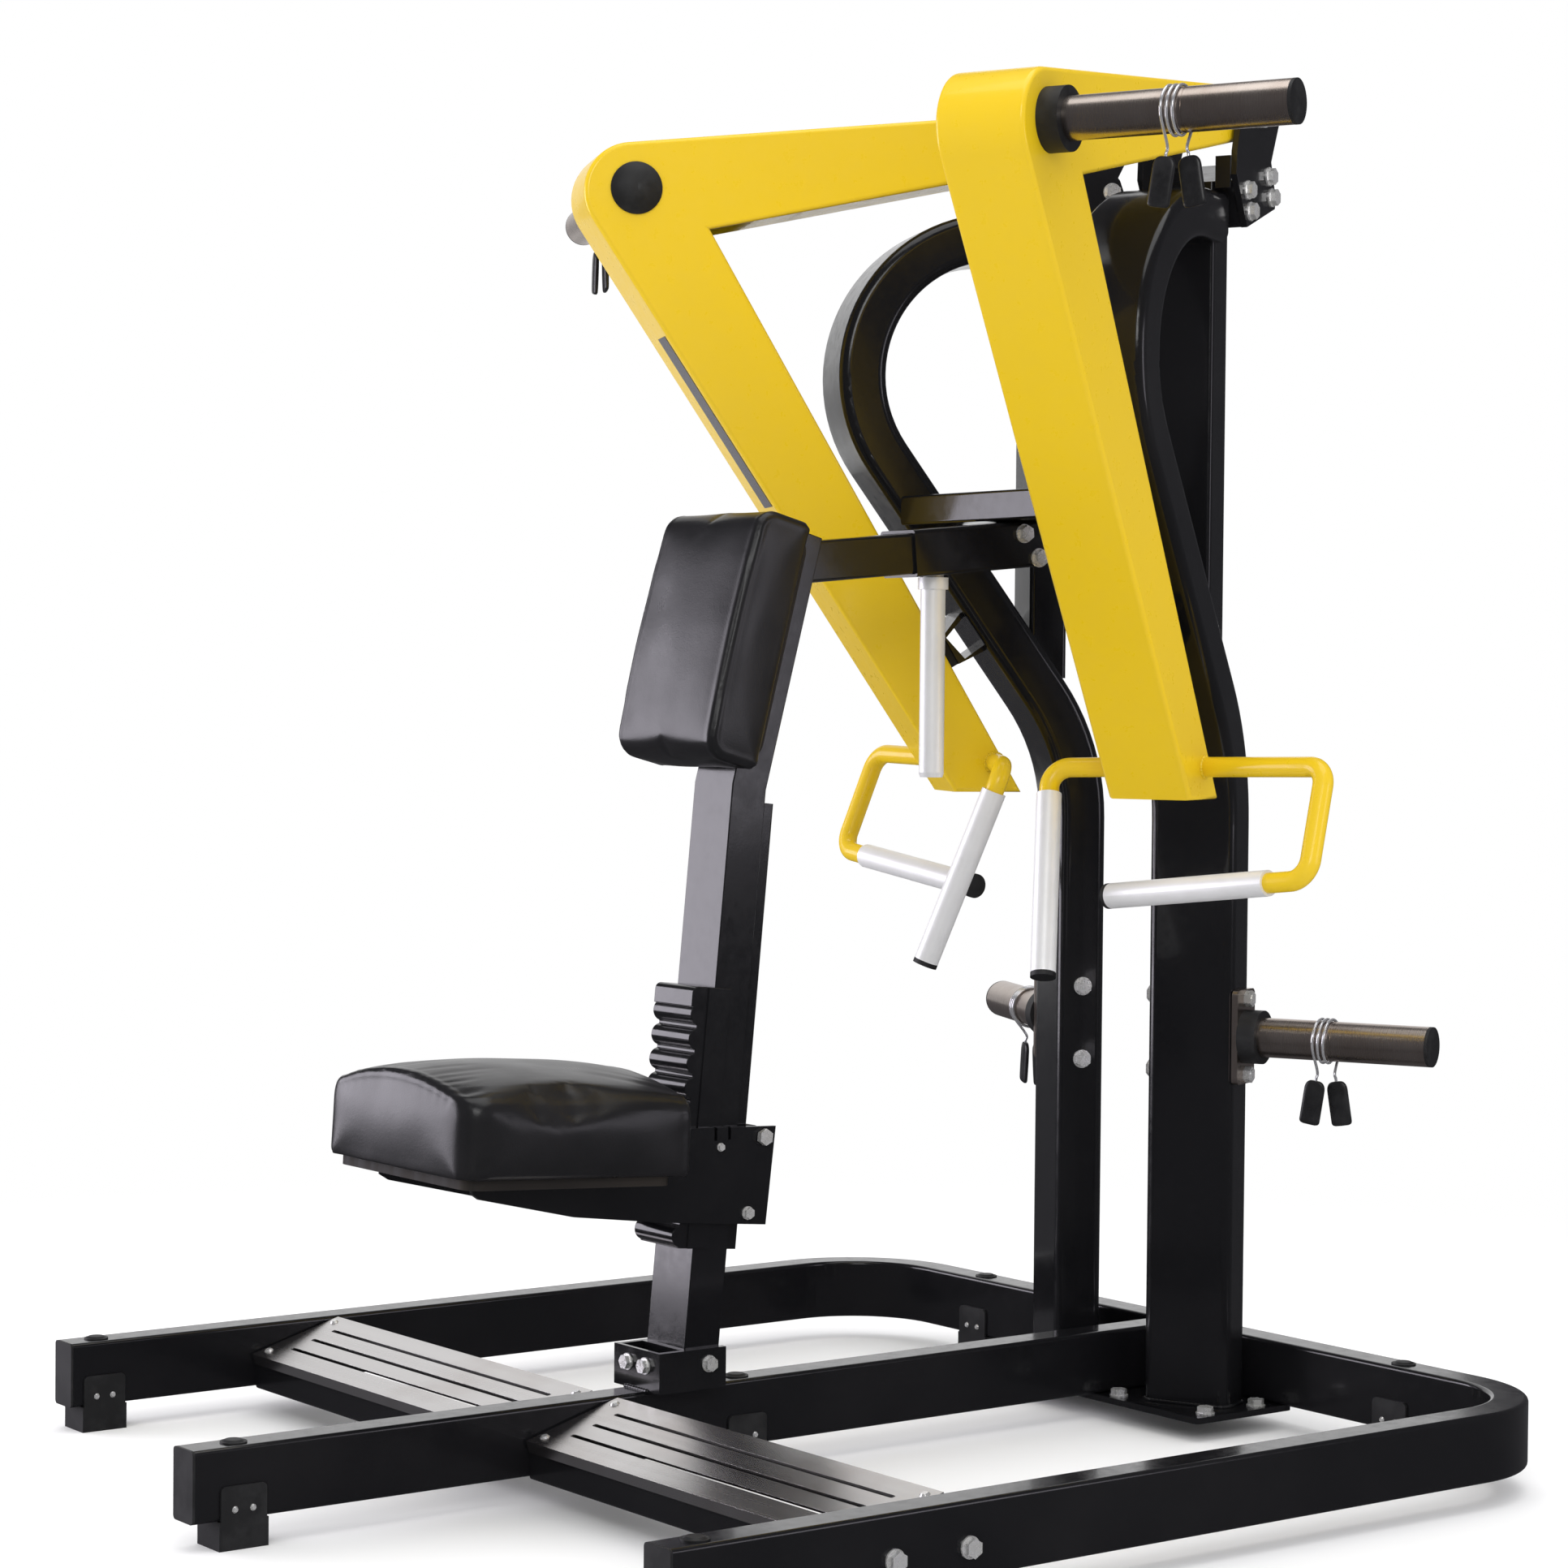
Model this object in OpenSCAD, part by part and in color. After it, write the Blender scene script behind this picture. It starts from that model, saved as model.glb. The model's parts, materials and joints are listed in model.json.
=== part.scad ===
// Plate-loaded two-arm seated row machine: splayed S-bend tower, swinging weight arms, a chest pad
// and a seat that slides up and down its post.
// Millimetres. +Z up, +Y from the seat to the tower, X = 0 is the plane of symmetry.
// The origin is on the floor, under the middle of the machine.

/* [Base] */
// Overall length of the base, tip of the centre rail to the back rail
base_length = 1486; // [1450:1:1520]
// Overall width of the base over both side rails
base_width = 1348; // [1330:1:1400]
// Height of the rectangular base tube
rail_h = 80; // [76:1:90]
// Width of the rectangular base tube
rail_w = 45; // [40:1:50]
// Height of the feet under the rails
foot_h = 32; // [28:1:36]
// How far the centre rail runs out past the side rails
nose_length = 170; // [150:1:190]
// Centreline radius of the rear corners of the base loop
corner_r = 145; // [120:1:160]
// Slope of the footplates, degrees
footplate_tilt = 16; // [12:0.5:18]

/* [Tower] */
// Yaw of each side frame and arm away from straight ahead, degrees
splay = 24; // [23:0.5:25]
// Width of the flat S-bend tube
s_tube_w = 116; // [112:1:118]
// Depth of the flat S-bend tube
s_tube_d = 62; // [60:1:64]
// Lean of the straight length between the two bends, degrees
s_lean = 35.5; // [34:0.5:36]
// Centreline radius of the big C-bend at the top
c_bend_r = 183.5; // [181:0.5:186]
// Height of the C-bend's centre
c_bend_z = 1347; // [1342:1:1352]

/* [Arms] */
// Width of the box-section arm
arm_w = 110; // [106:1:110]
// Height of the arm pivot
pivot_z = 1670; // [1665:1:1675]
// Diameter of the weight horns
horn_d = 50; // [49:0.5:50]
// Length of the arm horns beyond the arm
arm_horn_l = 295; // [280:1:300]
// Length of the storage horns beyond the column
store_horn_l = 255; // [240:1:265]

/* [Seat] */
// Lean of the seat post, degrees
post_lean = 5.4; // [5:0.1:6]
// Width of the seat cushion
seat_w = 312; // [300:1:320]
// Length of the seat cushion
seat_l = 299; // [280:1:305]
// Height of the seat cushion at its crown
seat_t = 116; // [100:1:120]

/* [Chest pad] */
// Lean of the upper post and the chest pad, degrees
pad_lean = 15; // [14:0.5:16]
// Width of the chest pad
pad_w = 188; // [180:1:200]
// Length of the chest pad
pad_l = 290; // [270:1:296]
// Thickness of the chest pad at its crown
pad_t = 74; // [66:1:80]

/* [Hidden] */
$fn = 40;

// colours
black = [0.07, 0.07, 0.08];
yellow = [0.93, 0.78, 0.10];
steel = [0.75, 0.75, 0.76];
rubber = [0.15, 0.15, 0.15];
leather = [0.20, 0.20, 0.22];

// shared sizes
wall = 3;                       // wall of the structural tubes
air = 0.3;                      // air between parts that slide past each other
slip = 0.04;                    // play on the diameter of a bore that turns or seats on a round part
seam = 0.05;                    // hairline between the lengths of a bent tube, so each stays an exact solid
sides = [-1, 1];

// base
rail_top = foot_h + rail_h;
rail_mid = foot_h + rail_h / 2;
rail_x = base_width / 2 - rail_w / 2;
back_y = base_length / 2 - rail_w / 2;
tip_y = -base_length / 2;
front_y = tip_y + nose_length;
rear_foot_x = 400;
foot_l = 60;
foot_spots = [[-rail_x, front_y + 42, 0], [rail_x, front_y + 42, 0], [0, tip_y + 58, 0],
    [0, -8, 0], [-rear_foot_x, back_y, 90], [rear_foot_x, back_y, 90]];
plate_front = [-320, 73];       // front edge of the footplates: distance back and height
plate_depth = 128;
plate_start = rail_w / 2 + 4;
plate_l = rail_x - rail_w - 8;
sheet = 3;
bar_w = 30;                     // crossbars under the footplates
bar_h = 42;
bar_spots = [[-301, 50], [-203, 79]];
bar_bolt_z = 64;

// tower, drawn in a frame turned by the splay: x outwards, y backwards
splay_y = 65;                   // splay centre on the centreline
base_plate_t = 8;
base_plate_front = 551;
base_plate_w = 424;
frame_in = 284;                 // inner face of the S-tube from the splay centre
frame_out = frame_in + s_tube_w;
frame_mid = frame_in + s_tube_w / 2;
column_y = 463;                 // centreline of the upright length of the S-tube
lower_bend_r = 280;
c_centre_y = 342.7;
post_in = 300;
post_w = 80;
post_d = 50;
post_y = 391;
post_low = 956;
crossbar_y = 402;
crossbar_z = 1171;
saddle_at = [459, 1567];
saddle_l = 112;
saddle_h = 60;
saddle_tilt = 20;

// the S-tube's straight length
lean_top = [c_centre_y - c_bend_r * cos(s_lean), c_bend_z - c_bend_r * sin(s_lean)];
corner_z = lean_top[1] - (column_y - lean_top[0]) / tan(s_lean);
bend_run = lower_bend_r * tan(s_lean / 2);
lean_l = (lean_top[1] - corner_z) / cos(s_lean) - bend_run;

// arm outline, in the same turned frame
arm_in = 291.5;
arm_out = arm_in + arm_w;
arm_wall = 4;
pivot = [460, pivot_z];
elbow = [-144, 1570];
elbow_r = 64;
hub_r = 32;
bearing_d = 52;
bearing_w = 15;
shaft_d = 25;
tip_front = [289, 806];
tip_back = [379, 806];
horn_at = [-141, 1575];
ring_d = 74;
ring_l = 26;
cap_t = 4;
cheek_t = 8;
cheek_gap = 4;
cheek_in = arm_in - cheek_gap;
cheek_out = arm_out + cheek_gap;
cheek_bolt_spots = [for (a = sides) for (b = sides) turned(saddle_at, saddle_tilt, [a * 37.5, b * 13.5])];
stop_low = 966;                 // heights of the rubber stop's lower and upper edge
stop_high = 1003;
stop_w = 60;
handle_d = 25;
grip_d = 32;
handle_bend = 26;
outer_handle = [[arm_out - 20, 340, 846], [587, 259, 851], [584, 210.5, 718], [287, 312.5, 684]];
outer_grip = 0.81;              // share of the handle's last length that the sleeve covers
inner_handle = [[arm_in + 20, 345, 845], [194, 326, 842], [230, 235, 590]];
inner_grip = 0.87;

// storage horns on the columns
store_z = 503;
store_plate = [90, 120, 8];
store_bolt = 48;

// collars
collar_wire = 4;
collar_w = 18;
tab_splay = 9;
tab_size = [26, 54, 5];
arm_collar_at = 556;
store_collar_at = 516;
ring_mark = [1, 0.5];           // width and depth of the ring turned in each horn
ring_mark_off = 13;             // from the collar's middle to the ring's inner edge

// seat post, drawn along its own lean: y backwards, z up the post from its front reference edge
post_ref = [-112.5, 152];
seat_post_w = 78;
seat_post_d = 50;
kink_at = 675;                  // distance up the post to the kink, on its centreline
upper_l = 315;
bracket_h = 48;
bracket_t = 4;
rack_low = 127;
rack_high = 435;
rack_step = 29;
rack_teeth = 10;
rack_valley = 22;
rack_crest = 32;
tooth_r = 13;
guide_w = 60;
guide_d = 20;
guide_low = 126;
guide_high = 658;
roller_r = 12;
axle_d = 12;
axle_at = [seat_post_d / 2 + guide_d + air + roller_r, 262];
side_plate_x = 42.5;
side_plate_t = 5;
flare_y = -150;
flare_turn = 10.5;
catch_d = 12;
catch_at = [-seat_post_d / 2 - rack_crest - 1 - catch_d / 2, 180];

// seat board and cushion, drawn along the seat's own slope from the rear underside of the board
seat_rear = [-190, 372];
seat_slope = 2.9;
board_t = 12;

// chest pad beam
beam_w = 60;
beam_h = 50;
beam_at = [222, 1105];          // centre of the beam where it enters its socket
beam_slope = 5.4;
socket_from = 230;
socket_to = 465;
grip_y = 285;
grip_low = 836;
pad_up = 162;                   // distance from the kink to the middle of the pad

function unit(v) = v / norm(v);
function flip(v) = [-v[1], v[0]];

// point that lies at offset off from c in a frame turned by angle a
function turned(c, a, off) = c + [off[0] * cos(a) - off[1] * sin(a), off[0] * sin(a) + off[1] * cos(a)];

// where a line from point p touches the circle (c, r), on the given side
function touch(c, r, p, side) =
    turned(c, atan2(p[1] - c[1], p[0] - c[0]) + side * acos(r / norm(p - c)), [r, 0]);

// point on the arm's back edge at height z
back_touch = touch(elbow, elbow_r, tip_back, 1);
function arm_back(z) = tip_back + (back_touch - tip_back) * (z - tip_back[1]) / (back_touch[1] - tip_back[1]);

// point on the front face of the S-tube's straight length, at distance s down from its top
function s_front(s) = turned(lean_top, s_lean, [-s_tube_d / 2, -s]);

// ---- general shapes ----

// rounded rectangle centred on the origin
module rrect(w, h, r) {
    square([w - 2 * r, h], center = true);
    square([w, h - 2 * r], center = true);
    for (x = sides)
        for (y = sides)
            translate([x * (w / 2 - r), y * (h / 2 - r)]) circle(r);
}

// section of a rounded rectangular tube
module tube_section(w, h, r, t) {
    difference() {
        rrect(w, h, r);
        rrect(w - 2 * t, h - 2 * t, max(r - t, 1));
    }
}

// axes x and y turned to the given directions, origin at p
module placed(x, y, p) {
    z = cross(x, y);
    multmatrix([[x[0], y[0], z[0], p[0]], [x[1], y[1], z[1], p[1]], [x[2], y[2], z[2], p[2]], [0, 0, 0, 1]])
        children();
}

// round bar from p to q
module rod(p, q, d) {
    v = unit(q - p);
    x = unit(cross(abs(v[2]) > 0.9 ? [0, 1, 0] : [0, 0, 1], v));
    placed(x, cross(v, x), p) cylinder(d = d, h = norm(q - p));
}

// round bar along a list of corner points, each corner bent at centreline radius r,
// drawn as straight lengths and elbows that meet at hairline seams
module bent_rod(pts, d, r) {
    last = len(pts) - 1;
    run = [for (i = [0:last]) i == 0 || i == last ? 0
        : r * tan(acos(unit(pts[i] - pts[i - 1]) * unit(pts[i + 1] - pts[i])) / 2)];
    for (i = [0:last - 1]) {
        u = unit(pts[i + 1] - pts[i]);
        rod(pts[i] + u * (run[i] + seam), pts[i + 1] - u * (run[i + 1] + seam), d);
    }
    for (i = [1:last - 1]) {
        u = unit(pts[i] - pts[i - 1]);
        v = unit(pts[i + 1] - pts[i]);
        m = unit(v - (u * v) * u);
        placed(-m, u, pts[i] - u * run[i] + m * r)
            rotate_extrude(angle = acos(u * v)) translate([r, 0]) circle(d = d);
    }
}

// an outline drawn as (distance back, height), extruded w outwards from x
module slab(x, w) {
    translate([x, 0, 0]) rotate([90, 0, 90]) linear_extrude(w) children();
}

// round bar along x, from x outwards, centred on at = (distance back, height)
module crosswise(x, w, at, d) {
    translate([x, at[0], at[1]]) rotate([0, 90, 0]) cylinder(d = d, h = w);
}

// weight horn from x outwards, with a shallow ring turned in it just outboard of the collar's place
module weight_horn(x, w, at, collar_at) {
    difference() {
        crosswise(x, w, at, horn_d);
        difference() {
            crosswise(collar_at + ring_mark_off, ring_mark[0], at, horn_d + 2);
            crosswise(collar_at, 2 * ring_mark_off, at, horn_d - 2 * ring_mark[1]);
        }
    }
}

// puts its children on the right side (s = 1) or mirrored on the left side (s = -1)
module on_side(s) {
    mirror([s > 0 ? 0 : 1, 0, 0])
        translate([0, splay_y, 0]) rotate([0, 0, splay]) children();
}

module both_sides() {
    for (s = sides) on_side(s) children();
}

// hexagon bolt head on a washer, seated at the origin, standing along +Z, with its shank below
module bolt(d, shank) {
    cylinder(d = 2 * d, h = 0.18 * d);
    translate([0, 0, 0.18 * d]) cylinder(d = 1.75 * d, h = 0.6 * d, $fn = 6);
    translate([0, 0, -shank]) cylinder(d = d, h = shank);
}

// ---- base ----

module rail_section() {
    tube_section(rail_w, rail_h, 5, wall);
}

// front holes in the side rails for the crossbar bolts
module crossbar_bolt_spots() {
    for (s = sides)
        for (b = bar_spots)
            translate([s * base_width / 2, b[0], bar_bolt_z]) rotate([0, s * 90, 0]) children();
}

module base_loop() {
    color(black) difference() {
        union() {
            for (s = sides) {
                translate([s * rail_x, back_y - corner_r, rail_mid]) rotate([90, 0, 0])
                    linear_extrude(back_y - corner_r - front_y) rail_section();
                translate([s * (rail_x - corner_r), back_y - corner_r, rail_mid])
                    rotate([0, 0, s > 0 ? 0 : 90])
                        rotate_extrude(angle = 90) translate([corner_r, 0]) rail_section();
            }
            translate([corner_r - rail_x, back_y, rail_mid]) rotate([90, 0, 90])
                linear_extrude(2 * (rail_x - corner_r)) rail_section();
        }
        crossbar_bolt_spots() cylinder(d = 10.4, h = 12, center = true);
    }
}

module centre_rail() {
    color(black) translate([0, back_y - rail_w / 2, rail_mid]) rotate([90, 0, 0])
        linear_extrude(back_y - rail_w / 2 - tip_y) rail_section();
}

// plug in the open front end of a rail
module end_plug(x, y) {
    translate([x, y, rail_mid]) rotate([90, 0, 0]) {
        linear_extrude(3) rrect(rail_w, rail_h, 5);
        translate([0, 0, -15]) linear_extrude(15) rrect(rail_w - 2 * wall - 0.4, rail_h - 2 * wall - 0.4, 3);
    }
}

// round button on top of a rail over each foot
module rail_button() {
    cylinder(d = 30, h = 1.5);
    translate([0, 0, 1.5]) cylinder(d1 = 25, d2 = 19, h = 2);
}

module rail_plugs() {
    color(rubber) {
        for (s = sides) end_plug(s * rail_x, front_y);
        end_plug(0, tip_y);
        for (f = foot_spots) translate([f[0], f[1], rail_top]) rail_button();
    }
}

// block on the floor with a cheek up each side of the rail
module foot() {
    cheek = 3;
    translate([-rail_w / 2 - cheek, -foot_l / 2, 0]) cube([rail_w + 2 * cheek, foot_l, foot_h]);
    for (s = sides)
        translate([s * (rail_w + cheek) / 2, 0, foot_h]) rotate([90, 0, 90])
            linear_extrude(cheek, center = true) intersection() {
                translate([0, 12]) rrect(foot_l - 4, 52, 6);
                translate([-foot_l / 2, 0]) square([foot_l, 60]);
            }
}

module rail_feet() {
    color(rubber) for (f = foot_spots)
        translate([f[0], f[1], 0]) rotate([0, 0, f[2]]) foot();
}

module foot_rivets() {
    color(steel) for (f = foot_spots)
        translate([f[0], f[1], foot_h + 12]) rotate([0, 0, f[2]])
            for (s = sides)
                for (y = [-11, 11])
                    translate([s * (rail_w / 2 + 3), y, 0]) rotate([0, s * 90, 0])
                        cylinder(d1 = 7.5, d2 = 5, h = 2);
}

// frame of a footplate: x from its inner edge, y up its slope, z off its top face
module on_footplate(s) {
    mirror([s > 0 ? 0 : 1, 0, 0])
        translate([plate_start, plate_front[0], plate_front[1]]) rotate([footplate_tilt, 0, 0]) children();
}

module screw_spots() {
    for (x = [14, plate_l - 14])
        for (y = [14, plate_depth - 14])
            translate([x, y, sheet]) children();
}

module slot(l, w, h) {
    translate([-l / 2, 0, 0]) cylinder(d = w, h = h, center = true);
    translate([l / 2, 0, 0]) cylinder(d = w, h = h, center = true);
    cube([l, w, h], center = true);
}

module footplate() {
    lip = 14;
    difference() {
        union() {
            cube([plate_l, plate_depth, sheet]);
            translate([0, -sheet, sheet - lip]) cube([plate_l, sheet, lip]);
        }
        for (i = [-1:1])
            translate([plate_l / 2, plate_depth / 2 + i * 31, sheet / 2]) slot(plate_l - 90, 6, 4 * sheet);
        screw_spots() cylinder(d = 6.4, h = 12, center = true);
    }
}

module footplate_right() {
    color(steel) on_footplate(1) footplate();
}

module footplate_left() {
    color(steel) on_footplate(-1) footplate();
}

module footplate_crossbars() {
    color(black) for (s = sides)
        for (b = bar_spots)
            translate([s * rail_x / 2, b[0], b[1]]) rotate([90, 0, 90])
                linear_extrude(rail_x - rail_w, center = true) tube_section(bar_w, bar_h, 4, wall);
}

module footplate_screws() {
    color(steel) for (s = sides)
        on_footplate(s) screw_spots() {
            cylinder(d1 = 12, d2 = 8, h = 2.5);
            translate([0, 0, -7]) cylinder(d = 6, h = 7);
        }
}

module crossbar_bolts() {
    color(steel) crossbar_bolt_spots() bolt(12, 0.1);
}

// ---- tower ----

module base_bolt_spots() {
    for (s = sides)
        for (p = [[196, 580], [196, 668], [48, 568]])
            translate([s * p[0], p[1], foot_h]) children();
}

module tower_base_plate() {
    depth = base_length / 2 - rail_w + 20 - base_plate_front;
    color(black) difference() {
        translate([0, base_plate_front + depth / 2, foot_h - base_plate_t])
            linear_extrude(base_plate_t) rrect(base_plate_w, depth, 8);
        base_bolt_spots() cylinder(d = 12.4, h = 40, center = true);
    }
}

module tower_base_bolts() {
    color(steel) base_bolt_spots() bolt(12, base_plate_t);
}

module s_section() {
    tube_section(s_tube_w, s_tube_d, 13, wall);
}

// upright, lower bend, leaning length, C-bend and the short length back to the post
module s_path() {
    translate([frame_mid, column_y, foot_h])
        linear_extrude(corner_z - bend_run - foot_h - seam) s_section();
    translate([frame_mid, column_y - lower_bend_r, corner_z - bend_run]) rotate([90, 0, 90])
        rotate_extrude(angle = s_lean) translate([lower_bend_r, 0]) rotate(90) s_section();
    translate([frame_mid, lean_top[0], lean_top[1]]) rotate([s_lean, 0, 0])
        translate([0, 0, seam - lean_l]) linear_extrude(lean_l - 2 * seam) s_section();
    translate([frame_mid, c_centre_y, c_bend_z]) rotate([90, 0, 90]) rotate([0, 0, 90])
        rotate_extrude(angle = 90 + s_lean) translate([c_bend_r, 0]) rotate(90) s_section();
    translate([frame_mid, c_centre_y + seam, c_bend_z + c_bend_r]) rotate([-90, 0, 0])
        linear_extrude(post_y - c_centre_y - seam) s_section();
}

// bolts that hold a storage horn: through the column, one above and one below the horn
module store_bolt_spots() {
    for (s = sides) translate([frame_in, column_y, store_z + s * store_bolt]) rotate([0, -90, 0]) children();
}

module s_tube() {
    difference() {
        s_path();
        store_bolt_spots() cylinder(d = 12.4, h = 3 * s_tube_w, center = true);
    }
}

module s_tube_right() {
    color(black) on_side(1) s_tube();
}

module s_tube_left() {
    color(black) on_side(-1) s_tube();
}

// the saddle's outer block, cut from the post that carries it
module saddle_block() {
    translate([cheek_in, saddle_at[0], saddle_at[1]]) rotate([saddle_tilt, 0, 0]) rotate([90, 0, 90])
        linear_extrude(cheek_out - cheek_in) rrect(saddle_l, saddle_h, 6);
}

module back_posts() {
    saddle_front_top = turned(saddle_at, saddle_tilt, [-saddle_l / 2, saddle_h / 2]);
    color(black) both_sides() difference() {
        translate([post_in + post_w / 2, post_y + post_d / 2, post_low])
            linear_extrude(saddle_front_top[1] - post_low) tube_section(post_w, post_d, 6, wall);
        translate([frame_mid, lean_top[0], lean_top[1]]) rotate([s_lean, 0, 0])
            translate([0, 0, -lean_l]) linear_extrude(lean_l)
                translate([0, -s_tube_d / 2]) square([s_tube_w, 2 * s_tube_d], center = true);
        saddle_block();
    }
}

// socket that holds the pad beam, drawn along the beam's slope
module on_beam() {
    translate([0, beam_at[0], beam_at[1]]) rotate([beam_slope, 0, 0]) children();
}

module beam_bolt_spots() {
    for (p = [[183, 14], [205, -18]])
        translate([beam_w / 2 + 4, p[0], p[1]]) rotate([0, 90, 0]) children();
}

// crossbar between the two S-tubes, with the beam socket welded under it
module tower_crossbar() {
    color(black) difference() {
        union() {
            translate([0, crossbar_y, crossbar_z]) rotate([90, 0, 90])
                linear_extrude(2 * frame_in, center = true) tube_section(60, 38, 4, wall);
            on_beam() translate([0, socket_from - beam_at[0], 0]) rotate([-90, 0, 0])
                linear_extrude(socket_to - socket_from) tube_section(beam_w + 8, beam_h + 8, 5, 3.7);
        }
        both_sides() translate([frame_in, 0, crossbar_z - 100]) cube([400, 600, 200]);
        on_beam() beam_bolt_spots() cylinder(d = 12.4, h = 160, center = true);
    }
}

module pivot_saddles() {
    color(black) both_sides() difference() {
        saddle_block();
        translate([cheek_in + 10, saddle_at[0], saddle_at[1]]) rotate([saddle_tilt, 0, 0]) rotate([90, 0, 90])
            linear_extrude(cheek_out - cheek_in - 20) rrect(saddle_l - 8, saddle_h - 8, 2);
        for (p = cheek_bolt_spots) crosswise(0, 600, p, 12.4);
    }
}

// cheek plate outline: a foot over the saddle, a waist, and a head round the pivot
module cheek_shape() {
    head_r = 28;
    polygon([turned(saddle_at, saddle_tilt, [-saddle_l / 2 + 3, -saddle_h / 2]),
        turned(saddle_at, saddle_tilt, [saddle_l / 2 - 10, -saddle_h / 2]),
        [514, 1570], [498, 1612], [523, 1662], pivot + [63, 5], pivot + [-62, 5], [396, 1650],
        [384, 1612], [382, 1582], [393, 1565]]);
    for (s = sides) translate(pivot + [s * (63 - head_r), 5]) circle(head_r);
    translate(pivot + [0, 5]) translate([head_r - 63, 0]) square([2 * (63 - head_r), head_r]);
}

// stiffening flange folded inwards along the cheek's front edge, clear of the arm above it
module cheek_flange(x) {
    translate([x, 381, 1566]) cube([20, 4, 40]);
}

module pivot_cheeks() {
    color(black) both_sides() {
        for (x = [cheek_in - cheek_t, cheek_out])
            difference() {
                slab(x, cheek_t) cheek_shape();
                for (p = cheek_bolt_spots) crosswise(0, 600, p, 12.4);
                crosswise(0, 600, pivot, shaft_d + slip);
            }
        cheek_flange(cheek_out - 20);
        cheek_flange(cheek_in);
    }
}

module cheek_bolts() {
    color(steel) both_sides() for (p = cheek_bolt_spots) {
        translate([cheek_out + cheek_t, p[0], p[1]]) rotate([0, 90, 0]) bolt(12, cheek_t + 10);
        translate([cheek_in - cheek_t, p[0], p[1]]) rotate([0, -90, 0]) bolt(12, cheek_t + 10);
    }
}

module pivot_shafts() {
    head = 6;
    x0 = cheek_in - cheek_t;
    x1 = cheek_out + cheek_t;
    color(steel) both_sides() {
        crosswise(x0 - head, x1 - x0 + 2 * head, pivot, shaft_d);
        crosswise(x0 - head, head, pivot, 40);
        crosswise(x1, head, pivot, 40);
    }
}

// ---- arm stops ----

stop_n = unit(flip(tip_back - back_touch));         // from the arm's back edge towards the S-tube
stop_rubber_t = 14;
stop_face = [arm_back(stop_low) + stop_n * 0.5, arm_back(stop_high) + stop_n * 0.5];
stop_back = [stop_face[0] + stop_n * stop_rubber_t, stop_face[1] + stop_n * stop_rubber_t];

module arm_stop_rubbers() {
    color(rubber) both_sides()
        slab(frame_mid - stop_w / 2 + 5, stop_w - 10)
            polygon([stop_face[0], stop_face[1], stop_back[1], stop_back[0]]);
}

module arm_stop_brackets() {
    color(black) both_sides()
        slab(frame_mid - stop_w / 2, stop_w) difference() {
            polygon([stop_back[0], stop_back[1], s_front(224), s_front(284)]);
            polygon([stop_back[0] + [8, 7], stop_back[1] + [4, -3], s_front(231), s_front(277)]);
        }
}

// ---- storage horns ----

module storage_horns() {
    color(steel) both_sides() {
        weight_horn(frame_out + store_plate[2], store_horn_l - store_plate[2] - cap_t,
            [column_y, store_z], store_collar_at);
        difference() {
            translate([frame_out, column_y, store_z]) rotate([90, 0, 90])
                linear_extrude(store_plate[2]) rrect(store_plate[0] - 32, store_plate[1], 8);
            store_bolt_spots() cylinder(d = 12.4, h = 3 * s_tube_w, center = true);
        }
    }
}

module storage_horn_trim() {
    color(rubber) both_sides() {
        difference() {
            crosswise(frame_out + store_plate[2], 24, [column_y, store_z], 68);
            crosswise(frame_out, 60, [column_y, store_z], horn_d + slip);
        }
        crosswise(frame_out + store_horn_l - cap_t, cap_t, [column_y, store_z], horn_d);
    }
}

module storage_horn_bolts() {
    grip = s_tube_w + store_plate[2];
    color(steel) both_sides() store_bolt_spots() {
        bolt(12, grip + 10);
        translate([0, 0, -grip - 9]) cylinder(d = 21, h = 9, $fn = 6);
    }
}

// ---- seat post ----

// frame of the lower post: origin on its centreline level with the reference edge
module on_post() {
    translate([0, post_ref[0], post_ref[1]]) rotate([-post_lean, 0, 0])
        translate([0, seat_post_d / 2, 0]) children();
}

// frame of the upper post: origin at the kink on the centreline
module on_upper_post() {
    on_post() translate([0, 0, kink_at]) rotate([post_lean - pad_lean, 0, 0]) children();
}

// side outline of the mitred post, half its depth each side of the centreline, between two heights
module post_outline(half, foot, top) {
    kink = turned(post_ref, -post_lean, [seat_post_d / 2, kink_at]);
    mean = (pad_lean + post_lean) / 2;
    skew = half / cos((pad_lean - post_lean) / 2);
    foot_y = kink[0] - (kink[1] - foot) * tan(post_lean);
    polygon([[foot_y - half / cos(post_lean), foot], turned(kink, -mean, [-skew, 0]),
        turned(kink, -pad_lean, [-half, top]), turned(kink, -pad_lean, [half, top]),
        turned(kink, -mean, [skew, 0]), [foot_y + half / cos(post_lean), foot]]);
}

module seat_post() {
    foot = rail_top + bracket_t;
    color(black) difference() {
        slab(-seat_post_w / 2, seat_post_w) post_outline(seat_post_d / 2, foot, upper_l);
        slab(wall - seat_post_w / 2, seat_post_w - 2 * wall)
            post_outline(seat_post_d / 2 - wall, foot - 1, upper_l - wall);
    }
}

module post_bolt_spots() {
    for (x = [-18, 18])
        translate([x, -153, rail_top + 30]) rotate([90, 0, 0]) children();
    for (s = sides)
        translate([s * 47, -82, rail_top + 30]) rotate([0, s * 90, 0]) children();
}

// welded U-shaped shoe that the foot of the post stands in
module seat_post_bracket() {
    color(black) difference() {
        translate([-47, -153, rail_top]) cube([94, 96, bracket_h]);
        on_post() translate([0, 0, -60]) linear_extrude(200)
            square([seat_post_w + 0.2, seat_post_d + 0.2], center = true);
        translate([-39, -148, rail_top + bracket_t]) cube([78, 30, 60]);
        translate([-39, -70, rail_top + bracket_t]) cube([78, 30, 60]);
        post_bolt_spots() cylinder(d = 10.4, h = 10, center = true);
    }
}

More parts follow.
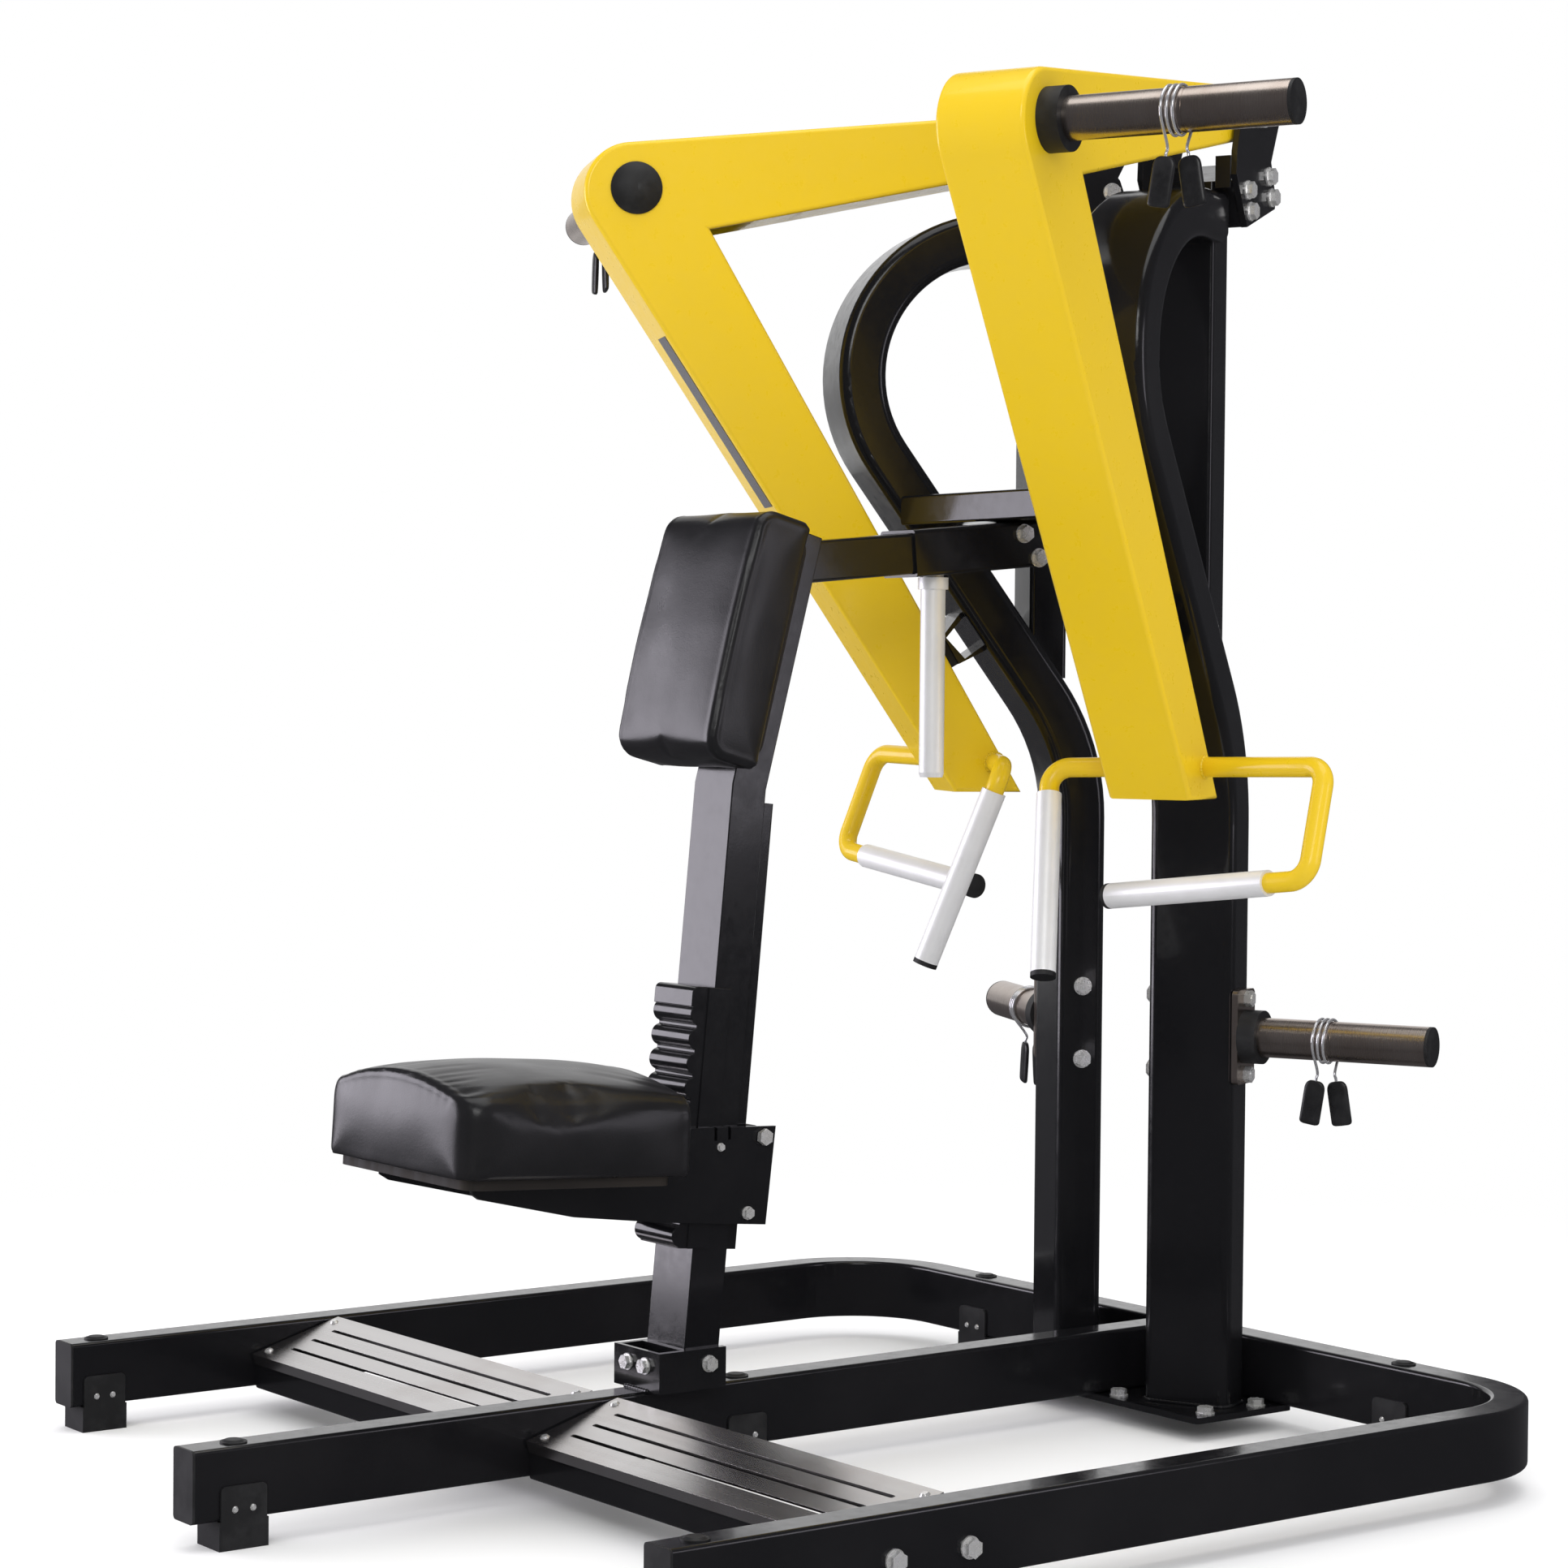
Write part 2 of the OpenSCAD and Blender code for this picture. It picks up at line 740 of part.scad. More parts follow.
module seat_post_bolts() {
    color(steel) post_bolt_spots() bolt(10, 4);
}

// notched rack down the front of the post, with flanges back along its sides
module seat_rack() {
    side_t = 2.2;
    front = -seat_post_d / 2;
    color(black) on_post() {
        slab(-seat_post_w / 2, seat_post_w) {
            translate([front - rack_valley, rack_low]) square([rack_valley, rack_high - rack_low]);
            for (i = [0:rack_teeth - 1])
                translate([front - rack_crest + tooth_r, rack_low + rack_step * (i + 0.5)]) circle(tooth_r);
            translate([front - rack_crest, rack_high - 24]) square([rack_crest, 16]);
            translate([front - rack_crest + 8, rack_high - 8]) circle(8);
            translate([front - rack_crest + 8, rack_high - 8]) square([rack_crest - 8, 8]);
        }
        for (s = sides)
            translate([s * (seat_post_w + side_t) / 2, front + 6, (rack_low + rack_high) / 2])
                cube([side_t, 2 * (rack_valley - 6) , rack_high - rack_low], center = true);
    }
}

// channel down the back of the post that the seat's roller runs on
module seat_guide() {
    l = guide_high - guide_low;
    color(black) on_post() difference() {
        translate([0, seat_post_d / 2 + guide_d / 2, guide_low]) linear_extrude(l) rrect(guide_w, guide_d, 3);
        translate([-guide_w / 2 + wall, seat_post_d / 2 - 1, guide_low - 1])
            cube([guide_w - 2 * wall, guide_d - wall + 1, l + 2]);
        translate([0, seat_post_d / 2 + guide_d, guide_high - 16]) rotate([90, 0, 0])
            cylinder(d = 9, h = 3 * wall, center = true);
    }
}

// ---- chest pad ----

module pad_beam() {
    color(black) difference() {
        on_beam() translate([0, -200, 0]) rotate([-90, 0, 0])
            linear_extrude(socket_to - beam_at[0] + 190) tube_section(beam_w, beam_h, 4, wall);
        on_upper_post() translate([-100, -300 + seat_post_d / 2, -100]) cube([200, 300, 600]);
        on_beam() beam_bolt_spots() cylinder(d = 12.4, h = 160, center = true);
    }
}

module pad_beam_bolts() {
    color(steel) on_beam() beam_bolt_spots() {
        bolt(12, beam_w + 8);
        translate([0, 0, -beam_w - 8 - 9]) cylinder(d = 21, h = 9, $fn = 6);
    }
}

// frame of the pad: origin on the post's front face, z along the pad, y to the rear
module on_pad() {
    on_upper_post() translate([0, -seat_post_d / 2, pad_up]) children();
}

module chest_pad_board() {
    color([0.5, 0.38, 0.25]) on_pad() rotate([90, 0, 0])
        linear_extrude(board_t) rrect(pad_w - 24, pad_l - 24, 18);
}

module chest_pad() {
    crown = 640;
    color(leather) on_pad() rotate([90, 0, 0]) translate([0, 0, board_t]) intersection() {
        linear_extrude(pad_t) rrect(pad_w, pad_l, 26);
        translate([0, 0, pad_t - crown]) sphere(crown, $fn = 96);
    }
}

// grip that hangs from the beam socket
module fixed_grip() {
    socket_low = beam_at[1] + (grip_y - beam_at[0]) * tan(beam_slope) - (beam_h / 2 + 4) / cos(beam_slope);
    color(steel) translate([0, grip_y, 0]) {
        translate([0, 0, grip_low]) cylinder(d = grip_d - 1, h = socket_low - 18 - grip_low);
        translate([0, 0, socket_low - 18]) cylinder(d = 38, h = 14.5);
        translate([0, 0, grip_low - 6]) cylinder(d1 = grip_d - 4, d2 = grip_d, h = 6);
        difference() {
            translate([0, 0, socket_low - 3.5]) cylinder(d = 26, h = 8);
            translate([0, -grip_y, 0]) on_beam() translate([-50, 0, -beam_h / 2 - 4]) cube([100, 200, 50]);
        }
    }
}

// ---- arms ----

// the arm's side outline, every edge moved in by inset
module arm_shape(inset) {
    r1 = elbow_r - inset;
    r2 = hub_r - inset;
    front = tip_front + [inset, inset];
    back = tip_back + [-inset, inset];
    a = atan2(pivot[1] - elbow[1], pivot[0] - elbow[0]);
    b = acos((r1 - r2) / norm(pivot - elbow));
    translate(elbow) circle(r1, $fn = 96);
    translate(pivot) circle(r2, $fn = 72);
    polygon([turned(elbow, a + b, [r1, 0]), turned(elbow, a - b, [r1, 0]),
        turned(pivot, a - b, [r2, 0]), turned(pivot, a + b, [r2, 0])]);
    polygon([touch(elbow, r1, front, -1), front, back, touch(elbow, r1, back, 1), elbow]);
}

module arm() {
    difference() {
        slab(arm_in, arm_w) arm_shape(0);
        slab(arm_in + arm_wall, arm_w - 2 * arm_wall) difference() {
            arm_shape(arm_wall);
            translate(pivot) circle(hub_r + 8, $fn = 72);
        }
        crosswise(0, 600, pivot, bearing_d);
        crosswise(0, 600, horn_at, horn_d + slip);
    }
}

module arm_right() {
    color(yellow) on_side(1) arm();
}

module arm_left() {
    color(yellow) on_side(-1) arm();
}

module arm_horn() {
    weight_horn(arm_in, arm_w + arm_horn_l - cap_t, horn_at, arm_collar_at);
}

module arm_horn_right() {
    color(steel) on_side(1) arm_horn();
}

module arm_horn_left() {
    color(steel) on_side(-1) arm_horn();
}

module horn_ring() {
    difference() {
        crosswise(arm_out, ring_l, horn_at, ring_d);
        crosswise(arm_out - 1, ring_l + 2, horn_at, horn_d + slip);
    }
}

module horn_ring_right() {
    color(rubber) on_side(1) horn_ring();
}

module horn_ring_left() {
    color(rubber) on_side(-1) horn_ring();
}

// domed plug over the horn's root, and the caps on the horn and both grips
module arm_caps() {
    plug_d = 67;
    rise = 10;
    dome = (plug_d * plug_d / 4 + rise * rise) / (2 * rise);
    translate([arm_in, horn_at[0], horn_at[1]]) rotate([0, -90, 0]) intersection() {
        cylinder(d = plug_d, h = 2 * rise);
        translate([0, 0, rise + 2 - dome]) sphere(dome, $fn = 72);
    }
    crosswise(arm_out + arm_horn_l - cap_t, cap_t, horn_at, horn_d);
    grip_cap(outer_handle[2], outer_handle[3]);
    grip_cap(inner_handle[1], inner_handle[2]);
}

module grip_cap(p, q) {
    rod(q, q + unit(q - p) * 6, grip_d);
}

module arm_caps_right() {
    color(rubber) on_side(1) arm_caps();
}

module arm_caps_left() {
    color(rubber) on_side(-1) arm_caps();
}

module handle_frame() {
    difference() {
        union() {
            bent_rod(outer_handle, handle_d, handle_bend);
            bent_rod(inner_handle, handle_d, handle_bend);
        }
        translate([arm_in, 250, 780]) cube([arm_w, 200, 120]);
    }
}

module handle_frame_right() {
    color(yellow) on_side(1) handle_frame();
}

module handle_frame_left() {
    color(yellow) on_side(-1) handle_frame();
}

// sleeve over the last share of the length from p to q
module grip(p, q, share) {
    difference() {
        rod(q - (q - p) * share, q, grip_d);
        rod(p, q + unit(q - p), handle_d + slip);
    }
}

module grips() {
    grip(outer_handle[2], outer_handle[3], outer_grip);
    grip(inner_handle[1], inner_handle[2], inner_grip);
}

module grips_right() {
    color(steel) on_side(1) grips();
}

module grips_left() {
    color(steel) on_side(-1) grips();
}

module bearings() {
    for (x = [arm_in + 1, arm_out - 1 - bearing_w])
        difference() {
            crosswise(x, bearing_w, pivot, bearing_d - slip);
            crosswise(x - 1, bearing_w + 2, pivot, shaft_d + slip);
        }
}

module arm_bearings_right() {
    color(steel) on_side(1) bearings();
}

module arm_bearings_left() {
    color(steel) on_side(-1) bearings();
}

// ---- collars ----

// spring collar on a horn: coil, two tails and two vinyl tabs hanging below
module collar(x, at) {
    bore = horn_d + 2 * air;
    difference() {
        crosswise(x - collar_w / 2, collar_w, at, bore + 2 * collar_wire);
        crosswise(x - collar_w, 2 * collar_w, at, bore);
    }
    for (s = sides)
        translate([x + s * 4, at[0] + s * 4, at[1]]) rotate([0, -s * tab_splay, 0]) {
            translate([0, 0, -51]) cylinder(d = collar_wire, h = 21);
            translate([0, 0, -79]) rotate([90, 0, 0])
                linear_extrude(tab_size[2], center = true) rrect(tab_size[0], tab_size[1], 8);
        }
}

module collar_arm_right() {
    color(steel) on_side(1) collar(arm_collar_at, horn_at);
}

module collar_arm_left() {
    color(steel) on_side(-1) collar(arm_collar_at, horn_at);
}

module collar_store_right() {
    color(steel) on_side(1) collar(store_collar_at, [column_y, store_z]);
}

module collar_store_left() {
    color(steel) on_side(-1) collar(store_collar_at, [column_y, store_z]);
}

// ---- seat ----

module seat_axle() {
    half = side_plate_x + side_plate_t;
    color(steel) on_post() {
        crosswise(-half - 1, 2 * half + 2, axle_at, axle_d);
        for (s = sides)
            translate([s * (half + 1), axle_at[0], axle_at[1]]) rotate([0, s * 90, 0])
                cylinder(d = 20, h = 7, $fn = 6);
    }
}

module seat_roller() {
    w = guide_w - 6;
    color(rubber) on_post() difference() {
        crosswise(-w / 2, w, axle_at, 2 * roller_r);
        crosswise(-w, 2 * w, axle_at, axle_d + slip);
    }
}

// top edge of the side plates, just under the board
function board_under(y) = seat_rear[1] - air + (seat_rear[0] - y) * tan(seat_slope);

// the flat part of a side plate, beside the post
module plate_shape() {
    difference() {
        polygon([[13, 417], [-1, 300], [flare_y, 314], [flare_y, board_under(flare_y)], [-122, 400], [-111, 422]]);
        for (y = [-75, -55])
            translate([y, 418]) square([4, 26], center = true);
    }
}

// the flared part, drawn from its bend line forwards
module flare_shape() {
    l = 301;
    polygon([[0, 314], [-145, 335], [-290, 369], [-l, 376], [-l, board_under(flare_y - l * cos(flare_turn))],
        [0, board_under(flare_y)]]);
}

module seat_side_plates() {
    color(black) {
        for (s = [0, 1]) mirror([s, 0, 0]) difference() {
            union() {
                slab(side_plate_x, side_plate_t) plate_shape();
                translate([side_plate_x, flare_y, 0]) rotate([0, 0, flare_turn])
                    slab(0, side_plate_t) flare_shape();
                translate([side_plate_x - 3, 0, 0]) on_post()
                    crosswise(0, 3 + side_plate_t, catch_at, 20);
            }
            on_post() crosswise(0, 100, axle_at, axle_d + slip);
            plate_bolt_spots() cylinder(d = 8.4, h = 40, center = true);
        }
        on_post() crosswise(-side_plate_x, 2 * side_plate_x, catch_at, catch_d);
        on_seat() translate([-76, -205, -4]) cube([152, 130, 4]);
    }
}

module plate_bolt_spots() {
    translate([side_plate_x + side_plate_t, -28, 316]) rotate([0, 90, 0]) children();
    translate([side_plate_x + side_plate_t, -68, 397]) rotate([0, 90, 0]) scale(0.6) children();
}

module seat_plate_bolts() {
    color(steel) for (s = [0, 1]) mirror([s, 0, 0]) {
        translate([side_plate_x + side_plate_t, -28, 316]) rotate([0, 90, 0]) bolt(8, side_plate_t + 4);
        translate([side_plate_x + side_plate_t, -68, 397]) rotate([0, 90, 0]) bolt(5, side_plate_t);
    }
}

// frame of the seat: origin at the rear underside of the board, y to the rear
module on_seat() {
    translate([0, seat_rear[0], seat_rear[1]]) rotate([-seat_slope, 0, 0]) children();
}

module seat_board() {
    color([0.5, 0.38, 0.25]) on_seat() translate([0, -seat_l / 2, 0])
        linear_extrude(board_t) rrect(seat_w - 24, seat_l - 24, 20);
}

module seat_cushion() {
    crown = 560;
    color(leather) on_seat() translate([0, -seat_l / 2, board_t]) intersection() {
        linear_extrude(seat_t) rrect(seat_w, seat_l, 30);
        translate([0, 0, seat_t - crown]) sphere(crown, $fn = 96);
    }
}

base_loop();
centre_rail();
rail_plugs();
rail_feet();
foot_rivets();
footplate_left();
footplate_right();
footplate_crossbars();
footplate_screws();
crossbar_bolts();
tower_base_plate();
tower_base_bolts();
s_tube_left();
s_tube_right();
back_posts();
tower_crossbar();
pivot_saddles();
pivot_cheeks();
cheek_bolts();
pivot_shafts();
arm_stop_brackets();
arm_stop_rubbers();
storage_horns();
storage_horn_trim();
storage_horn_bolts();
seat_post();
seat_post_bracket();
seat_post_bolts();
seat_rack();
seat_guide();
pad_beam();
pad_beam_bolts();
chest_pad_board();
chest_pad();
fixed_grip();
arm_left();
arm_right();
arm_horn_left();
arm_horn_right();
horn_ring_left();
horn_ring_right();
arm_caps_left();
arm_caps_right();
handle_frame_left();
handle_frame_right();
grips_left();
grips_right();
arm_bearings_left();
arm_bearings_right();
collar_arm_left();
collar_arm_right();
collar_store_left();
collar_store_right();
seat_axle();
seat_roller();
seat_side_plates();
seat_plate_bolts();
seat_board();
seat_cushion();
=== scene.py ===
"""Looks of the plate-loaded two-arm row machine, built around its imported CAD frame.

Metres, +Z up, +Y from the seat to the tower, X = 0 the plane of symmetry.
"""
import json
import math

import bmesh
import bpy
import numpy as np
from mathutils import Matrix, Vector, noise


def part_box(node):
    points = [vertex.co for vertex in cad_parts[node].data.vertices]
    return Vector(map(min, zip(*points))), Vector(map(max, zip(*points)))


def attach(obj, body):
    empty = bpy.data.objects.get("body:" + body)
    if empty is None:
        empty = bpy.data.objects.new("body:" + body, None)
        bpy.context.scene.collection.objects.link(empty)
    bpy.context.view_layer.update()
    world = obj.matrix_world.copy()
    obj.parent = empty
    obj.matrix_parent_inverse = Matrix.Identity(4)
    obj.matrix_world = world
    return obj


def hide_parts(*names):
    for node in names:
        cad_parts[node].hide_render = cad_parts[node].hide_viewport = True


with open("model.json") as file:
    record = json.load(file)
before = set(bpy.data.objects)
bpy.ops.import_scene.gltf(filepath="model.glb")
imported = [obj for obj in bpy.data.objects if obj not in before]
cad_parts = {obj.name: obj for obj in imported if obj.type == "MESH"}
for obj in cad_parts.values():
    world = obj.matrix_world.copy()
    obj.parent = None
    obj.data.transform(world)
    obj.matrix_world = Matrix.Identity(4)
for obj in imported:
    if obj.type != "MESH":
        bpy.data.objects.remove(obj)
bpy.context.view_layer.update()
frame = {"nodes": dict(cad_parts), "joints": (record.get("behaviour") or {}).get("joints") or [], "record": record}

MM = 0.001
UP = Vector((0, 0, 1))
NODES = frame["nodes"]
SIDES = ("right", "left")
SPACE = bpy.context.scene


def joint(name):
    return next(j for j in frame["joints"] if j["name"] == name)


def mount(name):
    return next(m for m in frame["record"]["mounts"] if m["name"] == name)


# ---- camera, light and stage ----

CAMERA_AT = Vector((3.4734, -2.5448, 0.9346))
CAMERA_AZIMUTH = 53.175          # degrees from +Y towards -X
CAMERA_DROP = 1.469              # degrees below level
CAMERA_ROLL = 0.531
LENS_MM = 82.5
SENSOR_MM = 36


def make_camera():
    data = bpy.data.cameras.new("camera")
    data.lens = LENS_MM
    data.sensor_width = SENSOR_MM
    data.clip_end = 200
    camera = bpy.data.objects.new("camera", data)
    turn = Matrix.Rotation(math.radians(CAMERA_AZIMUTH), 4, "Z")
    tip = Matrix.Rotation(math.radians(90 - CAMERA_DROP), 4, "X")
    roll = Matrix.Rotation(math.radians(CAMERA_ROLL), 4, "Z")
    camera.matrix_world = Matrix.Translation(CAMERA_AT) @ turn @ tip @ roll
    SPACE.collection.objects.link(camera)
    SPACE.camera = camera


def softbox(name, at, aim, size, watts, colour=(1, 1, 1)):
    data = bpy.data.lights.new(name, "AREA")
    data.shape = "RECTANGLE"
    data.size, data.size_y = size
    data.energy = watts
    data.color = colour
    light = bpy.data.objects.new(name, data)
    light.location = at
    light.rotation_euler = (Vector(aim) - Vector(at)).to_track_quat("-Z", "Y").to_euler()
    light.visible_camera = False
    SPACE.collection.objects.link(light)


def make_world():
    """A pale sky that fills shadows, and that polished parts see as a dim studio."""
    world = bpy.data.worlds.new("studio")
    world.use_nodes = True
    tree = world.node_tree
    tree.nodes.clear()
    rays = tree.nodes.new("ShaderNodeLightPath")
    pale = tree.nodes.new("ShaderNodeBackground")
    pale.inputs["Color"].default_value = (1.0, 1.0, 1.0, 1)
    pale.inputs["Strength"].default_value = 1.0
    dim = tree.nodes.new("ShaderNodeBackground")
    dim.inputs["Color"].default_value = (0.75, 0.74, 0.80, 1)
    dim.inputs["Strength"].default_value = 0.10
    mix = tree.nodes.new("ShaderNodeMixShader")
    out = tree.nodes.new("ShaderNodeOutputWorld")
    tree.links.new(rays.outputs["Is Glossy Ray"], mix.inputs["Fac"])
    tree.links.new(pale.outputs[0], mix.inputs[1])
    tree.links.new(dim.outputs[0], mix.inputs[2])
    tree.links.new(mix.outputs[0], out.inputs["Surface"])
    SPACE.world = world


FLOOR_SIZE = 8
FLOOR_SOLID = 1.1       # radius round the machine where the paper is fully there
FLOOR_GONE = 2.6        # radius where it has faded into the backdrop


def fade_out(material):
    """Lets the paper floor run out into the backdrop, so no horizon shows."""
    tree = material.node_tree
    place = tree.nodes.new("ShaderNodeTexCoord")
    length = tree.nodes.new("ShaderNodeVectorMath")
    length.operation = "LENGTH"
    tree.links.new(place.outputs["Object"], length.inputs[0])
    fade = tree.nodes.new("ShaderNodeMapRange")
    fade.interpolation_type = "SMOOTHSTEP"
    fade.inputs["From Min"].default_value = FLOOR_SOLID
    fade.inputs["From Max"].default_value = FLOOR_GONE
    fade.inputs["To Min"].default_value = 1
    fade.inputs["To Max"].default_value = 0
    tree.links.new(length.outputs["Value"], fade.inputs["Value"])
    tree.links.new(fade.outputs["Result"], tree.nodes["Principled BSDF"].inputs["Alpha"])


def make_floor():
    bpy.ops.mesh.primitive_plane_add(size=FLOOR_SIZE, location=(0, 0, 0))
    floor = bpy.context.object
    floor.name = "floor"
    floor.visible_glossy = False
    material = bpy.data.materials.new("floor_paper")
    material.use_nodes = True
    shader = material.node_tree.nodes["Principled BSDF"]
    shader.inputs["Base Color"].default_value = (0.93, 0.93, 0.93, 1)
    shader.inputs["Roughness"].default_value = 0.9
    shader.inputs["Specular IOR Level"].default_value = 0.1
    fade_out(material)
    floor.data.materials.append(material)


def make_stage():
    make_world()
    make_floor()
    middle = (0, 0.1, 0.8)
    softbox("front_box", (-3.8, -2.9, 1.25), middle, (3.0, 2.6), 120, (0.94, 0.90, 1.0))
    softbox("camera_box", (4.6, -3.4, 3.4), middle, (2.2, 2.2), 70)
    softbox("top_box", (0.6, 0.2, 4.2), (0, 0.1, 0), (3.0, 3.0), 50)
    softbox("back_box", (-4.8, 3.2, 2.4), middle, (4.8, 5.0), 62)
    softbox("right_box", (3.4, 2.0, 1.35), (0, -0.1, 0.9), (1.0, 1.5), 11, (0.94, 0.90, 1.0))
    SPACE.view_settings.view_transform = "Standard"


# ---- materials ----

class Paint:
    """A material on the principled shader, with short calls for its texture nodes."""

    def __init__(self, name, colour, roughness, metallic=0.0, specular=0.5, coat=0.0):
        self.material = bpy.data.materials.new(name)
        self.material.use_nodes = True
        self.tree = self.material.node_tree
        self.shader = self.tree.nodes["Principled BSDF"]
        self.colour = (*colour, 1)
        self.set("Base Color", self.colour)
        self.set("Roughness", roughness)
        self.set("Metallic", metallic)
        self.set("Specular IOR Level", specular)
        self.set("Coat Weight", coat)
        self.set("Coat Roughness", 0.08)
        self.place = self.node("ShaderNodeTexCoord").outputs["Object"]
        self.height = None

    def set(self, socket, value):
        self.shader.inputs[socket].default_value = value

    def node(self, kind, **values):
        made = self.tree.nodes.new(kind)
        for key, value in values.items():
            if key in made.inputs:
                made.inputs[key].default_value = value
            else:
                setattr(made, key, value)
        return made

    def link(self, output, socket):
        self.tree.links.new(output, socket)

    def stretched(self, scale):
        mapping = self.node("ShaderNodeMapping", Scale=scale)
        self.link(self.place, mapping.inputs["Vector"])
        return mapping.outputs[0]

    def clouds(self, scale, detail=2.0, roughness=0.5, along=None):
        made = self.node("ShaderNodeTexNoise", Scale=scale, Detail=detail, Roughness=roughness)
        self.link(self.place if along is None else along, made.inputs["Vector"])
        return made.outputs["Fac"]

    def cells(self, scale, feature="F1", output="Distance"):
        made = self.node("ShaderNodeTexVoronoi", Scale=scale, feature=feature)
        self.link(self.place, made.inputs["Vector"])
        return made.outputs[output]

    def spread(self, value, low, high, low_from=0.3, high_from=0.7):
        made = self.node("ShaderNodeMapRange")
        made.inputs["From Min"].default_value = low_from
        made.inputs["From Max"].default_value = high_from
        made.inputs["To Min"].default_value = low
        made.inputs["To Max"].default_value = high
        self.link(value, made.inputs["Value"])
        return made.outputs["Result"]

    def blend_colour(self, value, other):
        made = self.node("ShaderNodeMix", data_type="RGBA")
        self.link(value, made.inputs["Factor"])
        made.inputs[6].default_value = self.colour
        made.inputs[7].default_value = (*other, 1)
        self.link(made.outputs[2], self.shader.inputs["Base Color"])

    def rough(self, value):
        self.link(value, self.shader.inputs["Roughness"])

    def bump(self, value, distance, strength=1.0):
        made = self.node("ShaderNodeBump", Strength=strength, Distance=distance)
        self.link(value, made.inputs["Height"])
        if self.height is not None:
            self.link(self.height, made.inputs["Normal"])
        self.height = made.outputs["Normal"]
        self.link(self.height, self.shader.inputs["Normal"])


def powder_coat(name, colour, worn, specular, roughness):
    """Sprayed and baked powder: a faint orange peel under a soft gloss, a little dust and fine rubs."""
    paint = Paint(name, colour, roughness, specular=specular, coat=0.25)
    peel = paint.clouds(420, detail=1)
    paint.bump(peel, 0.00006, 0.5)
    dust = paint.clouds(5, detail=3, roughness=0.5)
    paint.blend_colour(paint.spread(dust, 0, 0.35, 0.45, 0.9), worn)
    rubs = paint.clouds(60, detail=4, roughness=0.7)
    paint.rough(paint.spread(rubs, roughness - 0.05, roughness + 0.09))
    return paint.material


def polished_sheet():
    """Polished stainless: fine lines along the plate, faint smears and scuffs."""
    paint = Paint("polished_plate", (0.72, 0.70, 0.69), 0.26, metallic=1)
    lines = paint.clouds(9, detail=2, along=paint.stretched((0.05, 10, 10)))
    smears = paint.clouds(6, detail=3, roughness=0.5)
    paint.blend_colour(paint.spread(smears, 0, 0.6, 0.5, 0.75), (0.48, 0.42, 0.39))
    paint.rough(paint.spread(lines, 0.25, 0.28))
    return paint.material


def turned_metal(name, colour, tint, roughness):
    """Plated bar turned on a lathe: fine rings across the horn's axis; its brownish colour, browner in patches, is a
    painted reflection.
    """
    paint = Paint(name, colour, roughness, metallic=1)
    parts = paint.node("ShaderNodeSeparateXYZ")
    paint.link(paint.place, parts.inputs[0])
    across = paint.node("ShaderNodeMath", operation="ABSOLUTE")
    paint.link(parts.outputs["X"], across.inputs[0])
    axis = joint("collar_arm_right_slide")["axis"]
    grown = paint.node("ShaderNodeMath", operation="MULTIPLY")
    grown.inputs[1].default_value = axis[0] / axis[1]
    paint.link(across.outputs[0], grown.inputs[0])
    along = paint.node("ShaderNodeMath", operation="ADD")
    paint.link(grown.outputs[0], along.inputs[0])
    paint.link(parts.outputs["Y"], along.inputs[1])
    rings = paint.node("ShaderNodeTexNoise", noise_dimensions="1D", Scale=900, Detail=3)
    paint.link(along.outputs[0], rings.inputs["W"])
    paint.bump(rings.outputs["Fac"], 0.000006, 0.4)
    # browner patches deepen the painted brown reflection in the plating's colour
    painted_reflection_patches = paint.clouds(14, detail=5, roughness=0.6)
    paint.blend_colour(paint.spread(painted_reflection_patches, 0, 0.8, 0.4, 0.7), tint)
    paint.rough(paint.spread(rings.outputs["Fac"], roughness - 0.07, roughness + 0.08))
    return paint.material


def satin_metal(name, colour, tint, roughness, metallic, grain=300):
    """Blasted or zinc-plated metal: fine grain and a faint change of tint."""
    paint = Paint(name, colour, roughness, metallic=metallic)
    speck = paint.clouds(grain, detail=3)
    paint.bump(speck, 0.00005, 0.3)
    patches = paint.clouds(35, detail=4)
    paint.blend_colour(paint.spread(patches, 0, 0.7), tint)
    paint.rough(paint.spread(speck, roughness - 0.08, roughness + 0.1))
    return paint.material


def leatherette():
    """Upholstery vinyl: pebble grain about a millimetre across, soft creases, semi-gloss."""
    paint = Paint("black_leatherette", (0.008, 0.008, 0.009), 0.30, specular=0.42)
    pebbles = paint.cells(700, feature="SMOOTH_F1")
    paint.bump(pebbles, 0.00016, 0.35)
    paint.bump(paint.clouds(26, detail=5, roughness=0.6), 0.0012, 0.20)
    handled = paint.clouds(12, detail=5)
    paint.blend_colour(paint.spread(handled, 0, 0.6), (0.014, 0.013, 0.015))
    paint.rough(paint.spread(handled, 0.27, 0.36))
    return paint.material


def moulded_rubber(name, colour, roughness):
    """Rubber and moulded plastic: fine spark texture, dusty in patches."""
    paint = Paint(name, colour, roughness, specular=0.4)
    paint.bump(paint.clouds(900, detail=2), 0.00008, 0.5)
    dust = paint.clouds(20, detail=6, roughness=0.7)
    lighter = tuple(c * 2.2 + 0.01 for c in colour)
    paint.blend_colour(paint.spread(dust, 0, 0.6, 0.45, 0.75), lighter)
    paint.rough(paint.spread(dust, roughness - 0.06, roughness + 0.12))
    return paint.material


def stained_plywood():
    """Birch board stained nearly black, with long grain and open pores."""
    paint = Paint("stained_plywood", (0.012, 0.010, 0.009), 0.6, specular=0.3)
    grain = paint.clouds(60, detail=6, along=paint.stretched((1, 0.08, 0.08)))
    paint.blend_colour(paint.spread(grain, 0, 1, 0.35, 0.75), (0.032, 0.025, 0.020))
    paint.bump(grain, 0.0003, 0.4)
    paint.rough(paint.spread(grain, 0.5, 0.75))
    return paint.material


